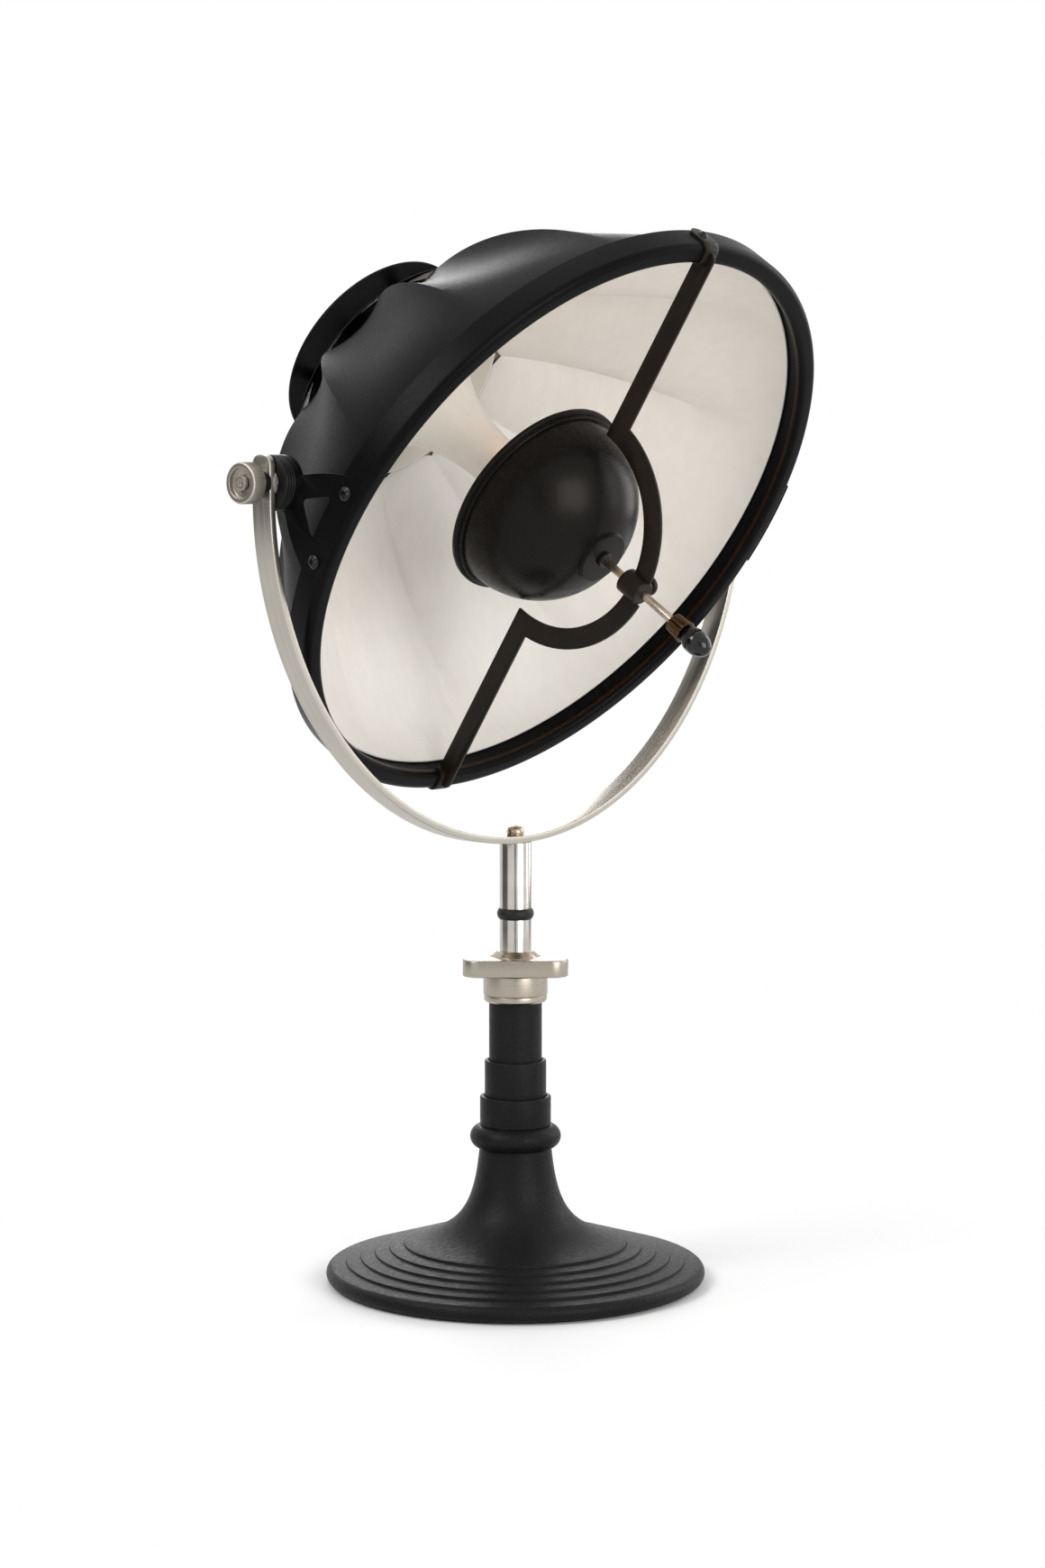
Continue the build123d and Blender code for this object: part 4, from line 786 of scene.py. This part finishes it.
# ------------------------------------------------------------------ base and column
BORE = 17.1  # radius of the hole for the column tube
base_line = (
    arc((117.3, 6.1), 5.1, -90, 80.35, 14)
    + rounded(
        [(118.155, 11.128), (109.4, 12.616), (109.4, 13.916), (100.12, 15.494), (100.12, 16.794),
         (90.84, 18.371), (90.84, 19.671), (81.56, 21.249), (81.56, 22.549), (72.28, 24.127),
         (72.28, 25.427), (69.28, 26.237)],
        0.55, 4, False,
    )[1:]
    + bezier((69.28, 26.2366), (35.64, 35.32), (27.15, 47.5), (23.2, 87.0), 48)
)
base_inside = [
    (BORE, 87.0), (BORE, 28.0), (12.1, 28.0), (12.1, 18.0),
    (26.0, 18.0), (26.0, 2.0), (116.1, 2.0), (116.1, 1.0),
]
lathe(
    "cast_base", base_line + base_inside, base_black, "base", ["base_casting"], WORLD,
    segments=256, sharp=40.0,
)
lathe(
    "ring_moulding", [(BORE, 87.0)] + arc((21.8, 94.5), 7.5, -90, 90, 20) + [(BORE, 102.0)],
    base_black, "base", ["base_ring"], WORLD, segments=128, sharp=60.0,
)
# Name, outline, rounding of its corners, steps of a rounding, finish, node, angle that stays sharp.
TURNED = (
    (
        "stepped_sleeve_low",
        [(BORE, 102.0, 0), (22.85, 102.0, 0.4), (22.85, 120.9, 1.8), (20.4, 120.9, 0.2),
         (20.4, 119.9, 0.1), (BORE, 119.9, 0)],
        0.4, 4, base_black, "lower_sleeve", 40.0,
    ),
    (
        "stepped_sleeve_high",
        [(BORE, 119.9, 0), (19.8, 119.9, 0.1), (19.8, 144.3, 1.6), (17.6, 144.3, 0.2),
         (17.6, 143.3, 0.1), (BORE, 143.3, 0)],
        0.4, 4, base_black, "upper_sleeve", 40.0,
    ),
    (
        "seat_ring",
        [(15.6, 182.3, 0.1), (19.05, 182.3, 0.3), (20.25, 183.5, 0.3), (20.25, 186.8, 0.35),
         (15.6, 186.8, 0.1)],
        0.3, 3, satin_nickel, "collar_seat", 60.0,
    ),
    (
        "turned_collar",
        [(15.6, 186.8, 0.1), (20.1, 186.8, 0.3), (20.7, 187.4, 0.4), (20.7, 199.7, 0.4),
         (20.1, 200.3, 0.3), (17.5, 200.3, 0.4), (17.5, 209.0, 0.4), (14.1, 209.0, 0.1),
         (14.1, 198.1, 0.1), (15.6, 198.1, 0.1)],
        0.3, 3, satin_nickel, "collar", 60.0,
    ),
    (
        "split_collet",
        [(10.25, 199.0, 0.1), (14.0, 199.0, 0.2), (14.0, 209.0, 0.1), (15.75, 209.0, 0.4),
         (15.75, 211.6, 0.5), (11.45, 215.1, 0.5), (10.25, 215.1, 0.1)],
        0.3, 4, collet_nickel, "collet", 60.0,
    ),
)
for name, outline, rounding, steps, finish, node, sharp in TURNED:
    profile = rounded(outline, rounding, steps)
    lathe(name, profile, finish, "base", [node], WORLD, segments=128, sharp=sharp)

STEM_TOP = 284  # what lies above it follows the outside of the yoke's bend
stem_outline = [
    (6.0, 64.0), (9.0, 64.0), (9.0, 80.0), (10.2, 80.0),
    (10.2, 285.0), (3.0, 285.0), (3.0, 262.0), (6.0, 262.0),
]
stem_points, stem_faces = revolve(rounded(stem_outline, 0.15, 2), 128)
BEND_ACROSS = 2 * (YOKE_RADIUS + YOKE_THICKNESS)
stem_points = [(x, y, z + (x * x / BEND_ACROSS if z > STEM_TOP else 0)) for x, y, z in stem_points]
add_piece("polished_stem", stem_points, stem_faces, polished_nickel, "stem_yoke", ["stem"], sharp=40.0)
lathe(
    "rubber_ring", arc((7.0, 239.05), 4.8, -49.5, 49.5, 16), rubber_black, "stem_yoke", ["stem_ring"], WORLD,
    segments=96, sharp=60.0,
)

# ------------------------------------------------------------------ pieces whose edges are eased
for name, width in (
    ("clamp_nut", 0.35), ("crossbar", 0.3), ("rim_clips", 0.3), ("left_bracket", 0.2), ("right_bracket", 0.2),
    ("clip_screws", 0.2), ("post_screws", 0.2), ("knob_screws", 0.25),
    ("yoke_screw", 0.25), ("rod_sleeve", 0.25), ("thumbscrew", 0.25), ("knob_bushes", 0.3),
    ("cable_gland", 0.3), ("rear_posts", 0.2), ("shield_nut", 0.2), ("pivot_washers", 0.1),
):
    softened(name, width)

# ------------------------------------------------------------------ brackets: thin plate, flanged screws
PLATE_RADIUS = HOOP_RADIUS + 0.6  # outside of the plates, which lie closer on the hoop than the solids'
BOSS_CLEAR = 16.6  # the boss round the pivot lies within this and keeps its height
for tag in ("left", "right"):
    plate = bpy.data.objects[f"{tag}_bracket_eased"]
    for vertex in plate.data.vertices:
        place = HEAD.inverted() @ (vertex.co / MM)
        reach = sqrt(place.x**2 + place.y**2)
        if sqrt(place.y**2 + place.z**2) > BOSS_CLEAR and reach > PLATE_RADIUS:
            place.xy *= PLATE_RADIUS / reach
            vertex.co = HEAD @ place * MM

screw_points, screw_faces = [], []
screw_line = rounded(
    [(0, 195.6), (1.6, 195.6), (1.6, 205.4), (4.3, 205.9), (4.3, 206.5, 0.3),
     (3.1, 207.1, 0.3), (2.6, 208.2, 0.6), (1.5, 208.3, 0.2), (1.3, 207.0, 0.1), (0, 207.0)],
    0.1,
    3,
)
SCREW_BEHIND = 3.65  # behind the hoop's lip
for up in (22.5, -25.2):  # above and below the pivots' line
    for side in (1, -1):
        lift = atan2(up, side * sqrt(HOOP_RADIUS**2 - up**2))
        out = Vector((cos(lift), sin(lift), 0))
        across = Vector((-sin(lift), cos(lift), 0))
        spoke = Matrix(
            (
                (across.x, 0, out.x, 0),
                (across.y, 0, out.y, 0),
                (0, 1, 0, LIP - SCREW_BEHIND),
                (0, 0, 0, 1),
            )
        )
        points, faces = revolve(screw_line, 48)
        start = len(screw_points)
        screw_points += [spoke @ Vector(p) for p in points]
        screw_faces += [[start + k for k in face] for face in faces]
add_piece("flanged_screws", screw_points, screw_faces, black_oxide, "head", ["bracket_screws"], HEAD)

# ------------------------------------------------------------------ floor, light and background
WHITE = (1.0, 1.0, 1.0, 1.0)
FLOOR_SIZE, FLOOR_DROP = 14.0, 0.0002  # metres; just under the foot pad
FADE_FROM, FADE_TO = 0.13, 0.4  # metres from the lamp's axis between which the floor turns white


def shown_white(tree):
    """Factor that is 1 for what the camera, a reflection or a clear piece shows."""
    path = tree.nodes.new("ShaderNodeLightPath")
    seen = path.outputs["Is Camera Ray"]
    for other in ("Is Glossy Ray", "Is Transmission Ray"):
        either = tree.nodes.new("ShaderNodeMath")
        either.operation = "MAXIMUM"
        tree.links.new(seen, either.inputs[0])
        tree.links.new(path.outputs[other], either.inputs[1])
        seen = either.outputs[0]
    return seen


def floor_material():
    """Pale floor that keeps the object's shadow and fades to white away from it."""
    n = Nodes("floor_pale")
    n.colour(n.mix(n.remap(n.noise(3.0, 4.0), 0.3, 0.7), (0.88, 0.88, 0.88), (0.92, 0.92, 0.92)))
    n.set(Roughness=0.9)
    n.shader.inputs["Specular IOR Level"].default_value = 0.1
    reach = n.add("ShaderNodeVectorMath", operation="LENGTH")
    n.join(n.place, reach.inputs[0])
    away = n.remap(reach.outputs["Value"], FADE_FROM, FADE_TO)
    white = n.add("ShaderNodeEmission")
    white.inputs["Color"].default_value = WHITE
    white.inputs["Strength"].default_value = 1.0
    blend = n.add("ShaderNodeMixShader")
    n.join(n.maths("MULTIPLY", away, shown_white(n.tree)), blend.inputs[0])
    n.join(n.shader.outputs["BSDF"], blend.inputs[1])
    n.join(white.outputs["Emission"], blend.inputs[2])
    n.join(blend.outputs[0], n.tree.nodes["Material Output"].inputs["Surface"])
    return n.material


bpy.ops.mesh.primitive_plane_add(size=FLOOR_SIZE, location=(0, 0, -FLOOR_DROP))
floor = bpy.context.object
floor.name = "floor"
floor.data.materials.append(floor_material())

world = bpy.data.worlds.new("World")
bpy.context.scene.world = world
world.use_nodes = True
tree = world.node_tree
tree.nodes.clear()
blend = tree.nodes.new("ShaderNodeMixShader")
for place, strength in ((1, 0.5), (2, 1.0)):  # what lights the lamp, then what is seen
    sky = tree.nodes.new("ShaderNodeBackground")
    sky.inputs["Color"].default_value = WHITE
    sky.inputs["Strength"].default_value = strength
    tree.links.new(sky.outputs[0], blend.inputs[place])
tree.links.new(shown_white(tree), blend.inputs[0])
out = tree.nodes.new("ShaderNodeOutputWorld")
tree.links.new(blend.outputs[0], out.inputs["Surface"])


def flag(name, bearing, reach, size, tone):
    """Dark card that stands round the lamp at this bearing in degrees; only reflections show it."""
    n = Nodes(name)
    n.colour(n.mix(n.noise(5.0), (tone * 0.8,) * 3, (tone * 1.2,) * 3))
    n.set(Roughness=1.0)
    turn = radians(bearing)
    bpy.ops.mesh.primitive_plane_add(
        size=1.0, location=(reach * sin(turn), reach * cos(turn), 0.8), rotation=(radians(90), 0, -turn)
    )
    card = bpy.context.object
    card.name = name
    card.scale = (*size, 1.0)
    card.data.materials.append(n.material)
    for ray in ("camera", "diffuse", "transmission", "shadow", "volume_scatter"):
        setattr(card, f"visible_{ray}", False)


flag("flag_back_left", -48.0, 2.9, (2.8, 2.6), 0.1)
flag("flag_camera", -131.0, 3.4, (0.6, 2.6), 0.02)
flag("flag_right", 95.0, 2.8, (1.6, 2.6), 0.04)


def softbox(name, at, aim, size, power):
    """Rectangular light at a place, turned to its aim; size in metres, power in watts."""
    lamp = bpy.data.lights.new(name, "AREA")
    lamp.shape = "RECTANGLE"
    lamp.size, lamp.size_y = size
    lamp.energy = power
    holder = bpy.data.objects.new(name, lamp)
    holder.location = at
    holder.rotation_euler = (Vector(aim) - Vector(at)).to_track_quat("-Z", "Y").to_euler()
    bpy.context.scene.collection.objects.link(holder)


softbox("key_left", (-2.0, 0.5, 2.1), (0, 0, 0.45), (1.1, 1.1), 34.0)
softbox("fill_front", (-0.5, -2.7, 0.9), (0, 0, 0.45), (1.6, 1.6), 36.0)
softbox("rim_right", (2.0, -0.4, 1.0), (0, 0, 0.4), (0.8, 1.6), 14.0)
softbox("rim_back", (1.75, 1.75, 1.2), (0, 0, 0.55), (0.95, 0.95), 15.0)
softbox("strip_right", (1.65, -1.6, 0.85), (0, 0, 0.45), (0.35, 1.2), 4.0)
softbox("top", (0.0, 0.4, 2.6), (0, 0, 0.3), (1.4, 1.4), 12.0)

# A weak warm light inside the shade, for the warm reflections in the cup and the hoop.
glow = bpy.data.lights.new("glow", "POINT")
glow.energy = 0.05
glow.color = (1.0, 0.66, 0.38)
glow.shadow_soft_size = 0.012
glow_at = bpy.data.objects.new("glow", glow)
glow_at.location = (HEAD @ Vector((-10.0, 24.0, 14.0))) * MM
bpy.context.scene.collection.objects.link(glow_at)

bpy.context.scene.view_settings.view_transform = "Standard"
